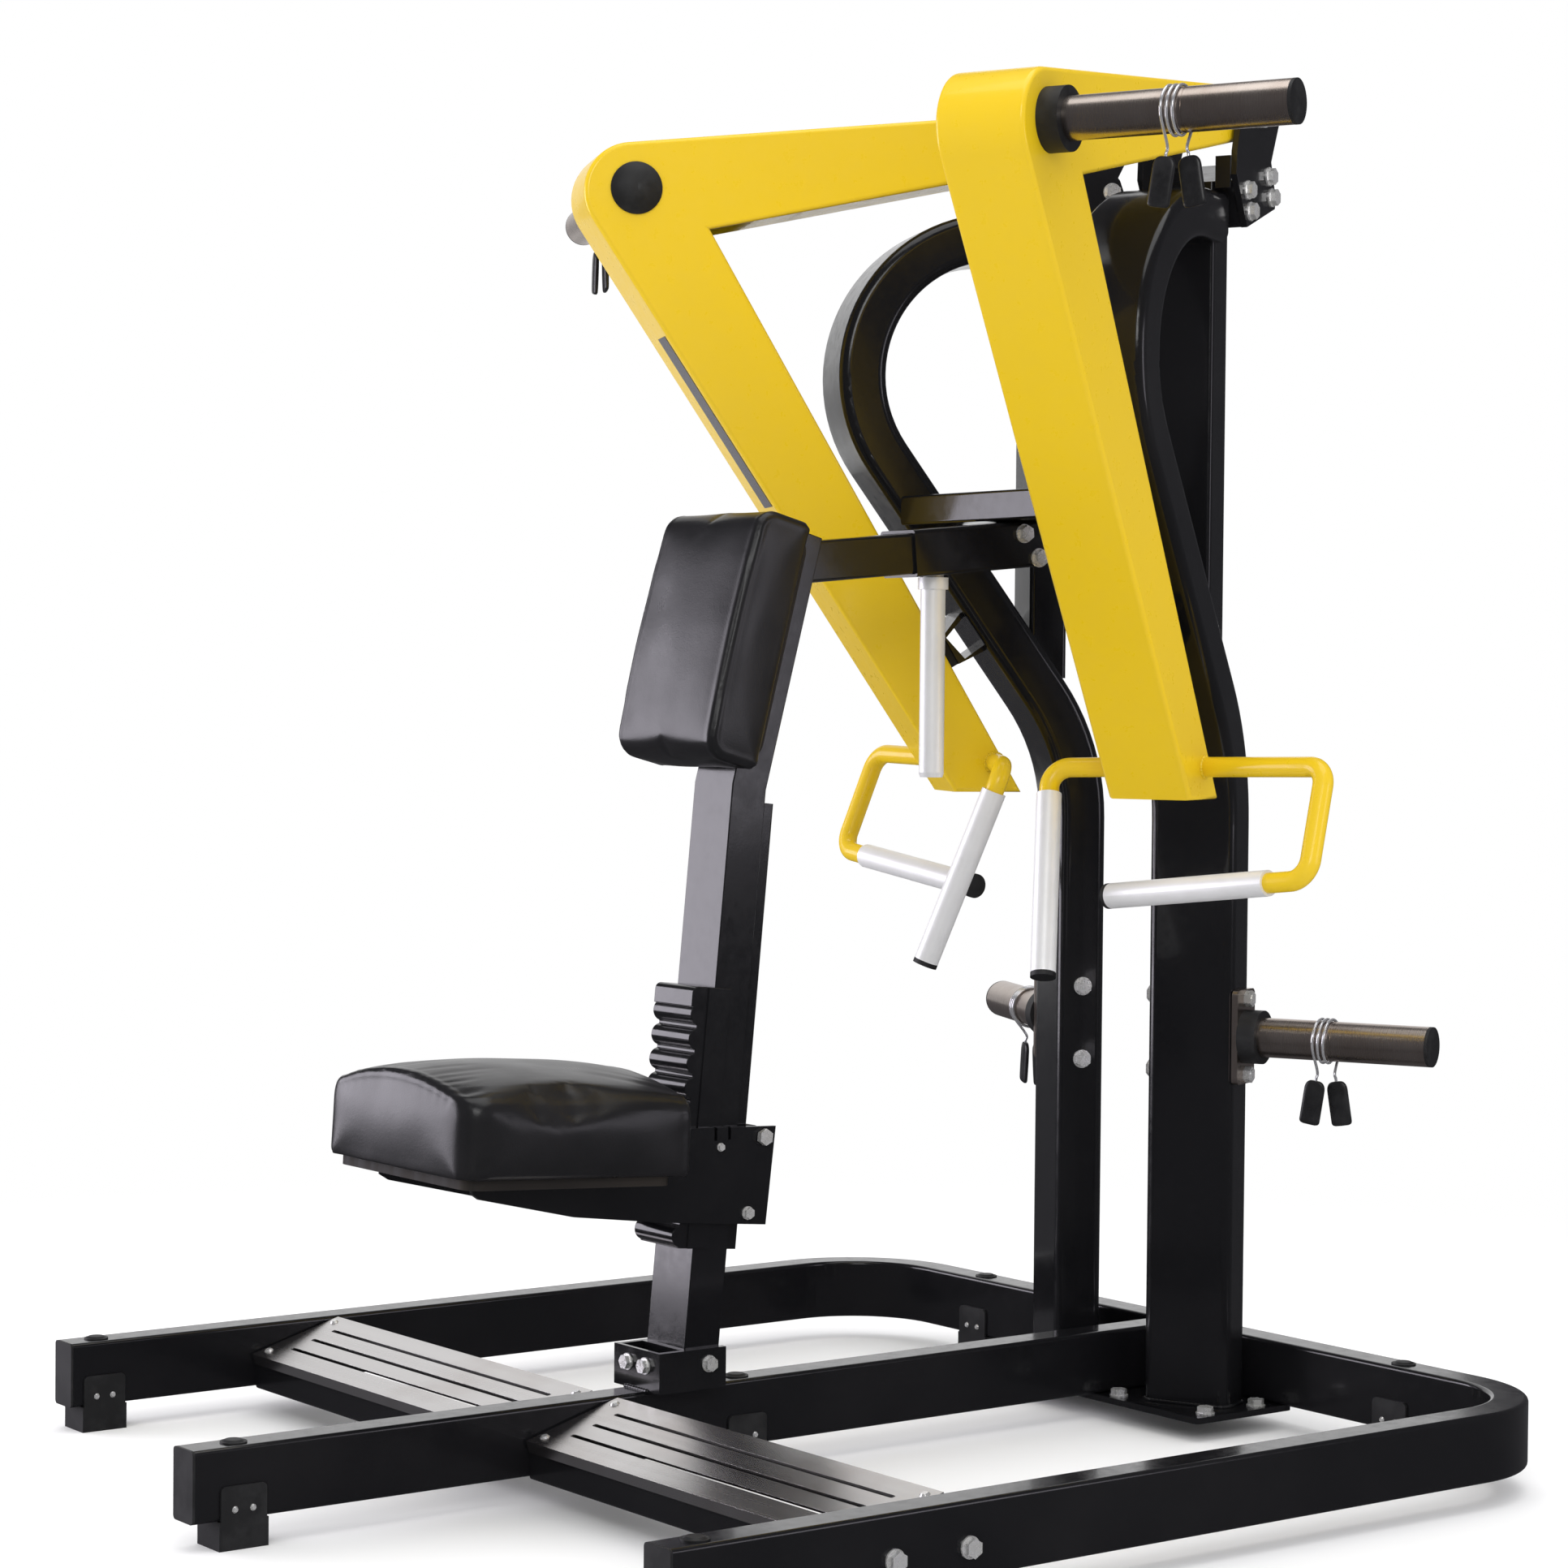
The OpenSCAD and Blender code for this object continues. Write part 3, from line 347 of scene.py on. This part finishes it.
def anodised_label():
    """Blank nameplate: grey anodised foil with a fine brushed face."""
    paint = Paint("nameplate_foil", (0.16, 0.155, 0.17), 0.3, metallic=0.8)
    lines = paint.clouds(140, detail=4, along=paint.stretched((14, 14, 0.2)))
    paint.bump(lines, 0.00004, 0.4)
    paint.blend_colour(paint.spread(lines, 0, 0.8), (0.26, 0.25, 0.28))
    paint.rough(paint.spread(lines, 0.24, 0.42))
    return paint.material


def make_materials():
    return {
        "black_frame": powder_coat("black_powder", (0.006, 0.006, 0.007), (0.020, 0.019, 0.020), 0.35, 0.17),
        "yellow_frame": powder_coat("yellow_powder", (0.74, 0.50, 0.010), (0.68, 0.47, 0.03), 0.35, 0.30),
        "polished_plate": polished_sheet(),
        # the horn's brownish colour and its browner tint are a painted brown reflection
        "horn_chrome": turned_metal("horn_plating", (0.56, 0.49, 0.44), (0.44, 0.36, 0.31), 0.28),
        "grip_aluminium": satin_metal("satin_aluminium", (0.86, 0.86, 0.87), (0.80, 0.80, 0.81), 0.42, 0.35),
        "spring_wire": satin_metal("spring_wire", (0.84, 0.84, 0.86), (0.72, 0.72, 0.75), 0.18, 0.8),
        "black_leatherette": leatherette(),
        "plywood": stained_plywood(),
        "black_rubber": moulded_rubber("black_rubber", (0.012, 0.012, 0.013), 0.5),
        "zinc_steel": satin_metal("zinc_plate", (0.82, 0.82, 0.84), (0.70, 0.69, 0.64), 0.28, 0.7, 160),
    }


def paint_frame(materials):
    for part in frame["record"]["subparts"]:
        data = NODES[part["node"]].data
        data.materials.clear()
        data.materials.append(materials[part["material_slot"]])


# ---- meshes ----

def new_piece(name, mesh, material, body, replaced=(), smooth=True):
    piece = bpy.data.objects.new(name, mesh)
    SPACE.collection.objects.link(piece)
    mesh.materials.clear()
    mesh.materials.append(material)
    mesh.polygons.foreach_set("use_smooth", [smooth] * len(mesh.polygons))
    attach(piece, body)
    if replaced:
        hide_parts(*replaced)
    return piece


def mesh_of(name, verts, faces):
    mesh = bpy.data.meshes.new(name)
    mesh.from_pydata([tuple(v) for v in verts], [], faces)
    tool = bmesh.new()
    tool.from_mesh(mesh)
    bmesh.ops.recalc_face_normals(tool, faces=tool.faces)
    tool.to_mesh(mesh)
    tool.free()
    mesh.update()
    return mesh


def tube(name, path, radius, sides=14, closed=False):
    """Round wire along a list of points; radius is one value or one for each point."""
    points = [Vector(p) for p in path]
    count = len(points)
    radii = radius if isinstance(radius, (list, tuple)) else [radius] * count
    verts, faces = [], []
    across = None
    for i, p in enumerate(points):
        ahead = points[(i + 1) % count] if closed else points[min(i + 1, count - 1)]
        behind = points[i - 1] if closed else points[max(i - 1, 0)]
        along = (ahead - behind).normalized()
        if across is None:
            across = along.orthogonal().normalized()
        across = (across - along * across.dot(along)).normalized()
        other = along.cross(across)
        for k in range(sides):
            a = 2 * math.pi * k / sides
            verts.append(p + (across * math.cos(a) + other * math.sin(a)) * radii[i])
    for i in range(count if closed else count - 1):
        for k in range(sides):
            a, b = i * sides + k, i * sides + (k + 1) % sides
            c, d = ((i + 1) % count) * sides + (k + 1) % sides, ((i + 1) % count) * sides + k
            faces.append((a, b, c, d))
    if not closed:
        faces.append(tuple(reversed(range(sides))))
        faces.append(tuple(range((count - 1) * sides, count * sides)))
    return mesh_of(name, verts, faces)


def curve_through(points, steps=8):
    """Catmull-Rom curve through the points."""
    p = [Vector(q) for q in points]
    p = [2 * p[0] - p[1], *p, 2 * p[-1] - p[-2]]
    out = []
    for i in range(1, len(p) - 2):
        for s in range(steps):
            t = s / steps
            out.append(0.5 * ((2 * p[i]) + (p[i + 1] - p[i - 1]) * t
                              + (2 * p[i - 1] - 5 * p[i] + 4 * p[i + 1] - p[i + 2]) * t ** 2
                              + (3 * p[i] - p[i - 1] - 3 * p[i + 1] + p[i + 2]) * t ** 3))
    out.append(p[-2])
    return out


def joined(name, meshes):
    tool = bmesh.new()
    for mesh in meshes:
        tool.from_mesh(mesh)
    out = bpy.data.meshes.new(name)
    tool.to_mesh(out)
    tool.free()
    return out


# ---- pressed and welded metal with eased edges ----

EASE_ANGLE = math.radians(30)


def eased(node, name, body, materials, slot, width, segments=2, pick=None):
    """A copy of a CAD node with its sharp edges rounded, as folded or cut steel has them."""
    tool = bmesh.new()
    tool.from_mesh(NODES[node].data)
    bmesh.ops.remove_doubles(tool, verts=tool.verts, dist=0.00001)
    bmesh.ops.dissolve_limit(tool, angle_limit=math.radians(0.4), verts=tool.verts, edges=tool.edges)
    sharp = [e for e in tool.edges if len(e.link_faces) == 2 and e.calc_face_angle(0) > EASE_ANGLE]
    chosen = [e for e in sharp if pick is None or pick(e)]
    bmesh.ops.bevel(tool, geom=chosen, offset=width, offset_type="OFFSET", segments=segments,
                    profile=0.5, affect="EDGES", clamp_overlap=True)
    mesh = bpy.data.meshes.new(name)
    tool.to_mesh(mesh)
    tool.free()
    piece = new_piece(name, mesh, materials[slot], body, [node])
    mesh.set_sharp_from_angle(angle=math.radians(50))
    level = piece.modifiers.new("flat_faces", "WEIGHTED_NORMAL")
    level.keep_sharp = True
    level.weight = 100
    bake(piece)
    return piece


ARM_EDGE = 9 * MM
HORN_CLEAR = 32 * MM


def ease_arms(materials):
    """The arms are boxes of folded sheet: their long edges are round, their bores stay crisp."""
    for side in SIDES:
        outward = -Vector(joint(f"arm_{side}_swing")["axis"])
        if side == "left":
            outward = Vector((-abs(outward.x), abs(outward.y), 0))
        node = NODES[f"arm_{side}"]
        depth = [v.co.dot(outward) for v in node.data.vertices]
        faces = (min(depth), max(depth))
        pivot = Vector(joint(f"arm_{side}_swing")["pos_m"])
        horn = Vector(mount(f"arm_horn_{side}")["pos_m"])

        def outer(edge, outward=outward, faces=faces, pivot=pivot, horn=horn):
            middle = (edge.verts[0].co + edge.verts[1].co) / 2
            if min(abs(middle.dot(outward) - f) for f in faces) > 0.5 * MM:
                return False
            for centre in (pivot, horn):
                gap = middle - centre
                if (gap - outward * gap.dot(outward)).length < HORN_CLEAR - 3 * MM:
                    return False
            return True

        eased(f"arm_{side}", f"arm_shell_{side}", f"arm_{side}_body", materials,
              "yellow_frame", ARM_EDGE, 4, outer)


def ease_plates(materials):
    for node, body, slot, width in (
            ("seat_post", "frame", "black_frame", 5 * MM),
            ("seat_rack", "frame", "black_frame", 2.5 * MM),
            ("seat_post_bracket", "frame", "black_frame", 1.2 * MM),
            ("pivot_cheeks", "frame", "black_frame", 1.0 * MM),
            ("tower_base_plate", "frame", "black_frame", 1.2 * MM),
            ("footplate_left", "frame", "polished_plate", 0.8 * MM),
            ("footplate_right", "frame", "polished_plate", 0.8 * MM),
            ("seat_side_plates", "seat_frame", "black_frame", 0.9 * MM)):
        eased(node, node + "_eased", body, materials, slot, width)


# ---- upholstery ----

VOXEL = 4.5 * MM
SWELL_FRAMES = 20
SWELL_CAP = 8 * MM


def pad_frame(node, down):
    """Axes of a pad: its flat back's centre, and a matrix from pad axes (x, along, out) to the frame."""
    mesh = NODES[node].data
    flat = [f for f in mesh.polygons if f.normal.dot(down) > 0.9]
    normal = -sum((f.normal * f.area for f in flat), Vector()).normalized()
    x = Vector((1, 0, 0))
    along = normal.cross(x).normalized()
    turn = Matrix((x, along, normal)).transposed()
    local = [turn.transposed() @ v.co for v in mesh.vertices]
    low = Vector(min(v[i] for v in local) for i in range(3))
    high = Vector(max(v[i] for v in local) for i in range(3))
    return turn.to_4x4(), low, high


def arched_profile(half, tall, sag, shoulder, foot=3 * MM):
    """Half-open outline of a stuffed section: up one side, over the crown, down the other."""
    arc = []
    edge = tall - sag
    for i in range(9):
        a = math.pi - math.pi / 2 * i / 8
        arc.append((-half + shoulder + shoulder * math.cos(a), edge - shoulder + shoulder * math.sin(a)))
    crown = [(w, edge + sag * (1 - (w / (half - shoulder)) ** 2))
             for w in np.linspace(-half + shoulder, half - shoulder, 17)[1:-1]]
    side = [(-half, h) for h in np.linspace(foot, edge - shoulder, 7)[:-1]]
    left = [(-half + foot, 0), *side, *arc]
    right = [(-w, h) for w, h in reversed(left)]
    return left + crown + right


def stuffed_mesh(name, half_long, half_wide, tall, sag_wide, sag_long, shoulder,
                 seam_round, tail_round, stations=40):
    """Closed pad: an arched section lofted along its length. Its ends are the seamed panels.
    seam_round and tail_round are its corners in plan, at the far and the near end.
    Axes: first along the loft, second across it, third out from the board."""
    verts, faces = [], []
    count = None
    for i in range(stations + 1):
        t = -1 + 2 * i / stations
        place = half_long * math.sin(t * math.pi / 2)
        share = place / half_long
        height = tall - sag_long * share ** 4
        turn = tail_round if place < 0 else seam_round
        past = max(0, (abs(place) - (half_long - turn)) / turn)
        pull = turn * (1 - math.sqrt(1 - min(past, 0.98) ** 2))
        ring = arched_profile(half_wide - pull, height, sag_wide, shoulder)
        count = len(ring)
        verts += [(place, w, h) for w, h in ring]
    for i in range(stations):
        for k in range(count):
            a, b = i * count + k, i * count + (k + 1) % count
            faces.append((a, b, b + count, a + count))
    faces.append(tuple(range(count)))
    faces.append(tuple(reversed(range(stations * count, (stations + 1) * count))))
    return mesh_of(name, verts, faces)


def remeshed(piece, voxel):
    modifier = piece.modifiers.new("remesh", "REMESH")
    modifier.mode = "VOXEL"
    modifier.voxel_size = voxel
    bake(piece)


def bake(piece):
    """Replaces a piece's mesh by what its modifiers make of it."""
    graph = bpy.context.evaluated_depsgraph_get()
    graph.update()
    made = bpy.data.meshes.new_from_object(piece.evaluated_get(graph))
    piece.modifiers.clear()
    piece.data = made


def points_of(piece):
    co = np.empty(len(piece.data.vertices) * 3)
    piece.data.vertices.foreach_get("co", co)
    return co.reshape(-1, 3)


def put_points(piece, points):
    piece.data.vertices.foreach_set("co", points.ravel())
    piece.data.update()


def swell(piece, held):
    """Cloth under pressure: the cover bulges between its seams, which are held."""
    start = points_of(piece)
    group = piece.vertex_groups.new(name="held")
    for i in np.nonzero(held > 0.01)[0]:
        group.add([int(i)], float(held[i]), "REPLACE")
    cloth = piece.modifiers.new("cloth", "CLOTH")
    rules = cloth.settings
    rules.quality = 6
    rules.mass = 0.4
    rules.tension_stiffness = 15
    rules.compression_stiffness = 15
    rules.shear_stiffness = 6
    rules.bending_stiffness = 4
    rules.use_pressure = True
    rules.uniform_pressure_force = 4
    rules.vertex_group_mass = "held"
    rules.effector_weights.gravity = 0
    cloth.point_cache.frame_start = 1
    cloth.point_cache.frame_end = SWELL_FRAMES
    for step in range(1, SWELL_FRAMES + 1):
        SPACE.frame_set(step)
    bake(piece)
    SPACE.frame_set(1)
    moved = points_of(piece) - start
    far = np.linalg.norm(moved, axis=1, keepdims=True)
    kept = SWELL_CAP * np.tanh(far / SWELL_CAP) / np.maximum(far, 1e-9)
    put_points(piece, start + moved * kept)


def seam_distance(points, half_long, half_wide, tall, sag_wide, sag_long, shoulder):
    """Distance of each point from the two seams, where the lofted cover meets its end panels."""
    ring = np.array(arched_profile(half_wide, tall - sag_long, sag_wide, shoulder))
    close = np.full(len(points), 1.0)
    dense = []
    for a, b in zip(ring[:-1], ring[1:]):
        for t in np.linspace(0, 1, 6)[:-1]:
            dense.append(a + (b - a) * t)
    for end in (-half_long, half_long):
        for w, h in dense:
            gap = (points[:, 0] - end) ** 2 + (points[:, 1] - w) ** 2 + (points[:, 2] - h) ** 2
            close = np.minimum(close, np.sqrt(gap))
    return close


SEAM_DEPTH = 1.8 * MM
SEAM_WIDTH = 2.4 * MM
SEAM_LIP = 0.9 * MM


def sew(piece, close):
    """Draws the seam down into the cover, with a soft lip along each side of it."""
    normals = np.empty(len(piece.data.vertices) * 3)
    piece.data.vertices.foreach_get("normal", normals)
    groove = -SEAM_DEPTH * np.exp(-(close / SEAM_WIDTH) ** 2)
    lip = SEAM_LIP * np.exp(-((close - 3 * SEAM_WIDTH) / (1.6 * SEAM_WIDTH)) ** 2)
    put_points(piece, points_of(piece) + normals.reshape(-1, 3) * (groove + lip)[:, None])


def unevenness(piece, size, depth):
    """Low, fixed waves of the foam under the cover."""
    points = points_of(piece)
    normals = np.empty(len(points) * 3)
    piece.data.vertices.foreach_get("normal", normals)
    waves = np.array([noise.noise(Vector(p) / size) for p in points])
    put_points(piece, points + normals.reshape(-1, 3) * (waves * depth)[:, None])


def upholster(name, node, body, materials, down, loft, shoulder, sags, rounds, grown):
    """A pad's cover: lofted, remeshed, blown up as cloth, then sewn. loft is the pad axis it runs along,
    grown how far its start stands out from the pad at its ends, its sides and its face."""
    turn, low, high = pad_frame(node, down)
    size = high - low
    middle = (low + high) / 2
    other = 1 - loft
    shape = dict(half_long=size[loft] / 2 + grown[0], half_wide=size[other] / 2 + grown[1],
                 tall=size[2] + grown[2], sag_wide=sags[0], sag_long=sags[1], shoulder=shoulder)
    cover = stuffed_mesh(name, seam_round=rounds[0], tail_round=rounds[1], **shape)
    piece = new_piece(name, cover, materials["black_leatherette"], body, [node])
    remeshed(piece, VOXEL)
    start = points_of(piece)
    close = seam_distance(start, **shape)
    held = np.maximum(np.exp(-(close / (5 * MM)) ** 2), (start[:, 2] < 2 * MM).astype(float))
    swell(piece, held)
    layer = piece.data.attributes.new("seam", "FLOAT", "POINT")
    layer.data.foreach_set("value", close.astype(np.float32))
    piece.modifiers.new("finer", "SUBSURF").levels = 1
    bake(piece)
    close = np.empty(len(piece.data.vertices), np.float32)
    piece.data.attributes["seam"].data.foreach_get("value", close)
    unevenness(piece, 70 * MM, 0.9 * MM)
    sew(piece, close.astype(float))
    piece.data.attributes.remove(piece.data.attributes["seam"])
    axes = [Vector((0, 0, 0)) for _ in range(3)]
    axes[0][loft] = 1
    axes[1][other] = 1
    axes[2][2] = 1
    swap = Matrix(axes).transposed().to_4x4()
    piece.data.transform(turn @ Matrix.Translation((middle[0], middle[1], low[2])) @ swap)
    if swap.determinant() < 0:
        piece.data.flip_normals()
    piece.data.materials.clear()
    piece.data.materials.append(materials["black_leatherette"])
    piece.data.polygons.foreach_set("use_smooth", [True] * len(piece.data.polygons))


def make_pads(materials):
    upholster("seat_cushion_cover", "seat_cushion", "seat_frame", materials, -UP, 1, 24 * MM,
              (19 * MM, 7 * MM), (8 * MM, 30 * MM), (1 * MM, 2 * MM, 0))
    upholster("chest_pad_cover", "chest_pad", "frame", materials, Vector((0, 1, 0)), 0, 26 * MM,
              (4 * MM, 2 * MM), (9 * MM, 9 * MM), (3 * MM, 5 * MM, 6 * MM))


# ---- spring collars ----

WIRE = 3.6 * MM
COIL_TURNS = 2.5
TAB = Vector((27 * MM, 7.5 * MM, 56 * MM))    # along the horn, across it, down
TAB_SPLAY = 9                                 # degrees
TAIL_TO_TAB = 79 * MM                         # from the horn's axis to the middle of a tab


def paddle(name, size):
    """Dipped vinyl tab: a rounded paddle with a narrow neck, hanging from the origin."""
    rings, sides = 22, 28
    verts, faces = [], []
    for i in range(rings + 1):
        t = i / rings
        down = size.z * (1 - math.cos(math.pi * t)) / 2
        neck = min(1, 0.35 + 0.65 * math.sin(math.pi / 2 * min(1, t / 0.3)))
        close = max(0.0, 1 - ((t - 0.8) / 0.2) ** 2) ** 0.5 if t > 0.8 else 1
        wide = size.x / 2 * neck * close
        thick = size.y / 2 * (0.75 + 0.25 * math.sin(math.pi * t)) * close
        for k in range(sides):
            a = 2 * math.pi * k / sides
            c, s = math.cos(a), math.sin(a)
            verts.append((wide * math.copysign(abs(c) ** 0.7, c), thick * math.copysign(abs(s) ** 0.8, s), -down))
    for i in range(rings):
        for k in range(sides):
            a, b = i * sides + k, i * sides + (k + 1) % sides
            faces.append((a, b, b + sides, a + sides))
    faces.append(tuple(range(sides)))
    mesh = mesh_of(name, verts, faces)
    tool = bmesh.new()
    tool.from_mesh(mesh)
    bmesh.ops.remove_doubles(tool, verts=tool.verts, dist=0.00002)
    tool.to_mesh(mesh)
    tool.free()
    return mesh


def make_collar(node, body, horn, materials):
    """Spring collar: a coil of round wire that grips the horn, and two tails dipped in vinyl."""
    along = Vector(mount(horn)["axis"])
    radius = mount(horn)["dims"]["r_mm"] * MM
    centre = Vector(mount(horn)["pos_m"])
    near = [v.co - centre for v in NODES[node].data.vertices]
    ring = [g.dot(along) for g in near if (g - along * g.dot(along)).length < radius + 5 * MM]
    middle = centre + along * (min(ring) + max(ring)) / 2
    reach = (max(ring) - min(ring)) / 2 - WIRE / 2
    across = UP.cross(along)
    coil_r = radius + WIRE / 2 + 0.5 * MM
    place = Matrix((along, across, UP)).transposed().to_4x4()
    place.translation = middle

    def tail(s):
        angle = math.radians(TAB_SPLAY)
        hang = lambda d: Vector((s * (4 * MM + d * math.sin(angle)), s * 4 * MM, -d * math.cos(angle)))
        top = TAIL_TO_TAB - TAB.z / 2
        return [hang(top + 6 * MM), hang(top - 3 * MM), hang(top - 12 * MM)], angle, hang(top)

    turns = []
    steps = 90
    for i in range(steps + 1):
        a = 2 * math.pi * COIL_TURNS * i / steps
        turns.append(Vector((reach * (1 - 2 * i / steps), coil_r * math.cos(a), coil_r * math.sin(a))))
    first, _, first_top = tail(1)
    last, _, last_top = tail(-1)
    lead = curve_through([*first, Vector((reach, coil_r - 3 * MM, -12 * MM)), turns[0]], 6)[:-1]
    trail = curve_through([turns[-1], Vector((-reach, 3 * MM - coil_r, -12 * MM)), *reversed(last)], 6)[1:]
    wire = tube(node + "_wire", [*lead, *turns, *trail], WIRE / 2, 12)
    wire.transform(place)
    new_piece(node + "_coil", wire, materials["spring_wire"], body, [node])
    tabs = []
    for s, top in ((1, first_top), (-1, last_top)):
        tab = paddle(f"{node}_tab", TAB)
        tab.transform(place @ Matrix.Translation(top) @ Matrix.Rotation(-s * math.radians(TAB_SPLAY), 4, "Y"))
        tabs.append(tab)
    new_piece(node + "_tabs", joined(node + "_tabs", tabs), materials["vinyl"], body)


def make_collars(materials):
    for side in SIDES:
        make_collar(f"collar_arm_{side}", f"collar_arm_{side}_body", f"arm_horn_{side}", materials)
        make_collar(f"collar_store_{side}", f"collar_store_{side}_body", f"storage_horn_{side}", materials)


# ---- welds ----

BEAD = 3.2 * MM


def bead(path, radius=BEAD, closed=True):
    """Weld bead along a closed path, rippled as the puddles of a hand weld."""
    points = []
    wanted = 1.6 * MM
    ring = [Vector(p) for p in path]
    pairs = list(zip(ring, ring[1:] + ring[:1])) if closed else list(zip(ring[:-1], ring[1:]))
    for a, b in pairs:
        parts = max(1, round((b - a).length / wanted))
        points += [a + (b - a) * i / parts for i in range(parts)]
    radii = [radius * (0.9 + 0.13 * math.sin(i * 1.9)) for i in range(len(points))]
    return tube("bead", points, radii, 8, closed)


def circle_path(centre, normal, radius, count=40):
    x = normal.orthogonal().normalized()
    y = normal.cross(x)
    return [centre + (x * math.cos(2 * math.pi * i / count) + y * math.sin(2 * math.pi * i / count)) * radius
            for i in range(count)]


def outline_at(node, point, normal, apart=6 * MM):
    """Outer outline of a node where the plane through point cuts it, one closed path for each tube cut."""
    tool = bmesh.new()
    tool.from_mesh(NODES[node].data)
    bmesh.ops.remove_doubles(tool, verts=tool.verts, dist=0.00001)
    cut = bmesh.ops.bisect_plane(tool, geom=[*tool.verts, *tool.edges, *tool.faces],
                                 plane_co=point, plane_no=normal, clear_inner=True, clear_outer=True)
    edges = [e for e in cut["geom_cut"] if isinstance(e, bmesh.types.BMEdge)]
    loops = []
    left = set(edges)
    while left:
        edge = left.pop()
        start, here = edge.verts
        loop = [start.co.copy(), here.co.copy()]
        while here != start:
            ahead = next((e for e in here.link_edges if e in left), None)
            if ahead is None:
                break
            left.discard(ahead)
            here = ahead.other_vert(here)
            loop.append(here.co.copy())
        if here == start and len(loop) > 8:
            loops.append(loop[:-1])
    tool.free()
    kept = []
    for loop in loops:
        centre = sum(loop, Vector()) / len(loop)
        size = max((p - centre).length for p in loop)
        if all((centre - c).length > apart or size >= s for _, c, s in kept):
            kept = [k for k in kept if (centre - k[1]).length > apart]
            kept.append((loop, centre, size))
    return [k[0] for k in kept]


def make_welds(materials):
    """Beads where the columns stand on the base plate, the handles leave the arms and the shoe sits."""
    plate_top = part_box("tower_base_plate")[1].z
    low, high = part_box("tower_crossbar")
    beads = []
    for side in SIDES:
        beads += [bead(p) for p in outline_at(f"s_tube_{side}", (0, 0, plate_top + 1 * MM), (0, 0, 1))]
    reach = high.x - 2.5 * MM
    post_low, post_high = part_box("seat_post_bracket")
    shoe = [(post_low.x, post_low.y), (post_high.x, post_low.y), (post_high.x, post_high.y), (post_low.x, post_high.y)]
    beads.append(bead([Vector((max(-0.0225, min(0.0225, x)), y, post_low.z + 0.5 * MM)) for x, y in shoe]))
    new_piece("frame_welds", joined("frame_welds", beads), materials["black_frame"], "frame")
    for side in SIDES:
        outward = -Vector(joint(f"arm_{side}_swing")["axis"])
        if side == "left":
            outward = Vector((-abs(outward.x), abs(outward.y), 0))
        depth = [v.co.dot(outward) for v in NODES[f"arm_{side}"].data.vertices]
        beads = []
        for face, step in ((min(depth), -1), (max(depth), 1)):
            at = outward * (face + step * 0.6 * MM)
            for path in outline_at(f"handle_frame_{side}", at, outward, 40 * MM):
                if len(path) > 8 and max(p.z for p in path) > 0.8:
                    beads.append(bead(path, 2.6 * MM))
        if beads:
            new_piece(f"handle_welds_{side}", joined(f"handle_welds_{side}", beads),
                      materials["yellow_frame"], f"arm_{side}_body")


# ---- nameplate ----

PLATE_SPAN = (1174 * MM, 1389 * MM)     # heights of its lower and upper end
PLATE_WIDTH = 44 * MM
PLATE_THICK = 0.8 * MM
PLATE_INWARD = 20 * MM


def make_nameplate(materials):
    """Blank foil strip on the front face of the left arm."""
    side = "left"
    outward = Vector(mount(f"arm_horn_{side}")["axis"])
    back = UP.cross(outward) * -1
    vertices = [v.co for v in NODES[f"arm_{side}"].data.vertices]
    depth = [v.dot(outward) for v in vertices]
    middle = (min(depth) + max(depth)) / 2
    elbow = [(v.z, v.dot(back)) for v in vertices if 1.4 < v.z < 1.56]
    tip_z = min(v.z for v in vertices)
    tip = min(v.dot(back) for v in vertices if v.z < tip_z + 1 * MM)
    slope = min((at - tip) / (z - tip_z) for z, at in elbow)
    place = lambda z: back * (tip + slope * (z - tip_z)) + outward * (middle - PLATE_INWARD) + UP * z
    low, high = place(PLATE_SPAN[0]), place(PLATE_SPAN[1])
    along = (high - low).normalized()
    out = outward.cross(along).normalized()
    if out.dot(back) > 0:
        out = -out
    half = PLATE_WIDTH / 2
    tool = bmesh.new()
    corners = [tool.verts.new(p + outward * s * half + out * t)
               for p in (low, high) for s in (-1, 1) for t in (-0.2 * MM, PLATE_THICK)]
    bmesh.ops.convex_hull(tool, input=corners)
    bmesh.ops.dissolve_limit(tool, angle_limit=0.01, verts=tool.verts, edges=tool.edges)
    bmesh.ops.bevel(tool, geom=tool.edges[:], offset=0.3 * MM, segments=2, profile=0.5, affect="EDGES")
    mesh = bpy.data.meshes.new("nameplate")
    tool.to_mesh(mesh)
    tool.free()
    new_piece("nameplate", mesh, anodised_label(), f"arm_{side}_body", smooth=False)


make_camera()
make_stage()
MATERIALS = make_materials()
MATERIALS["vinyl"] = moulded_rubber("dipped_vinyl", (0.010, 0.010, 0.011), 0.28)
paint_frame(MATERIALS)
ease_arms(MATERIALS)
ease_plates(MATERIALS)
make_pads(MATERIALS)
make_collars(MATERIALS)
make_welds(MATERIALS)
make_nameplate(MATERIALS)
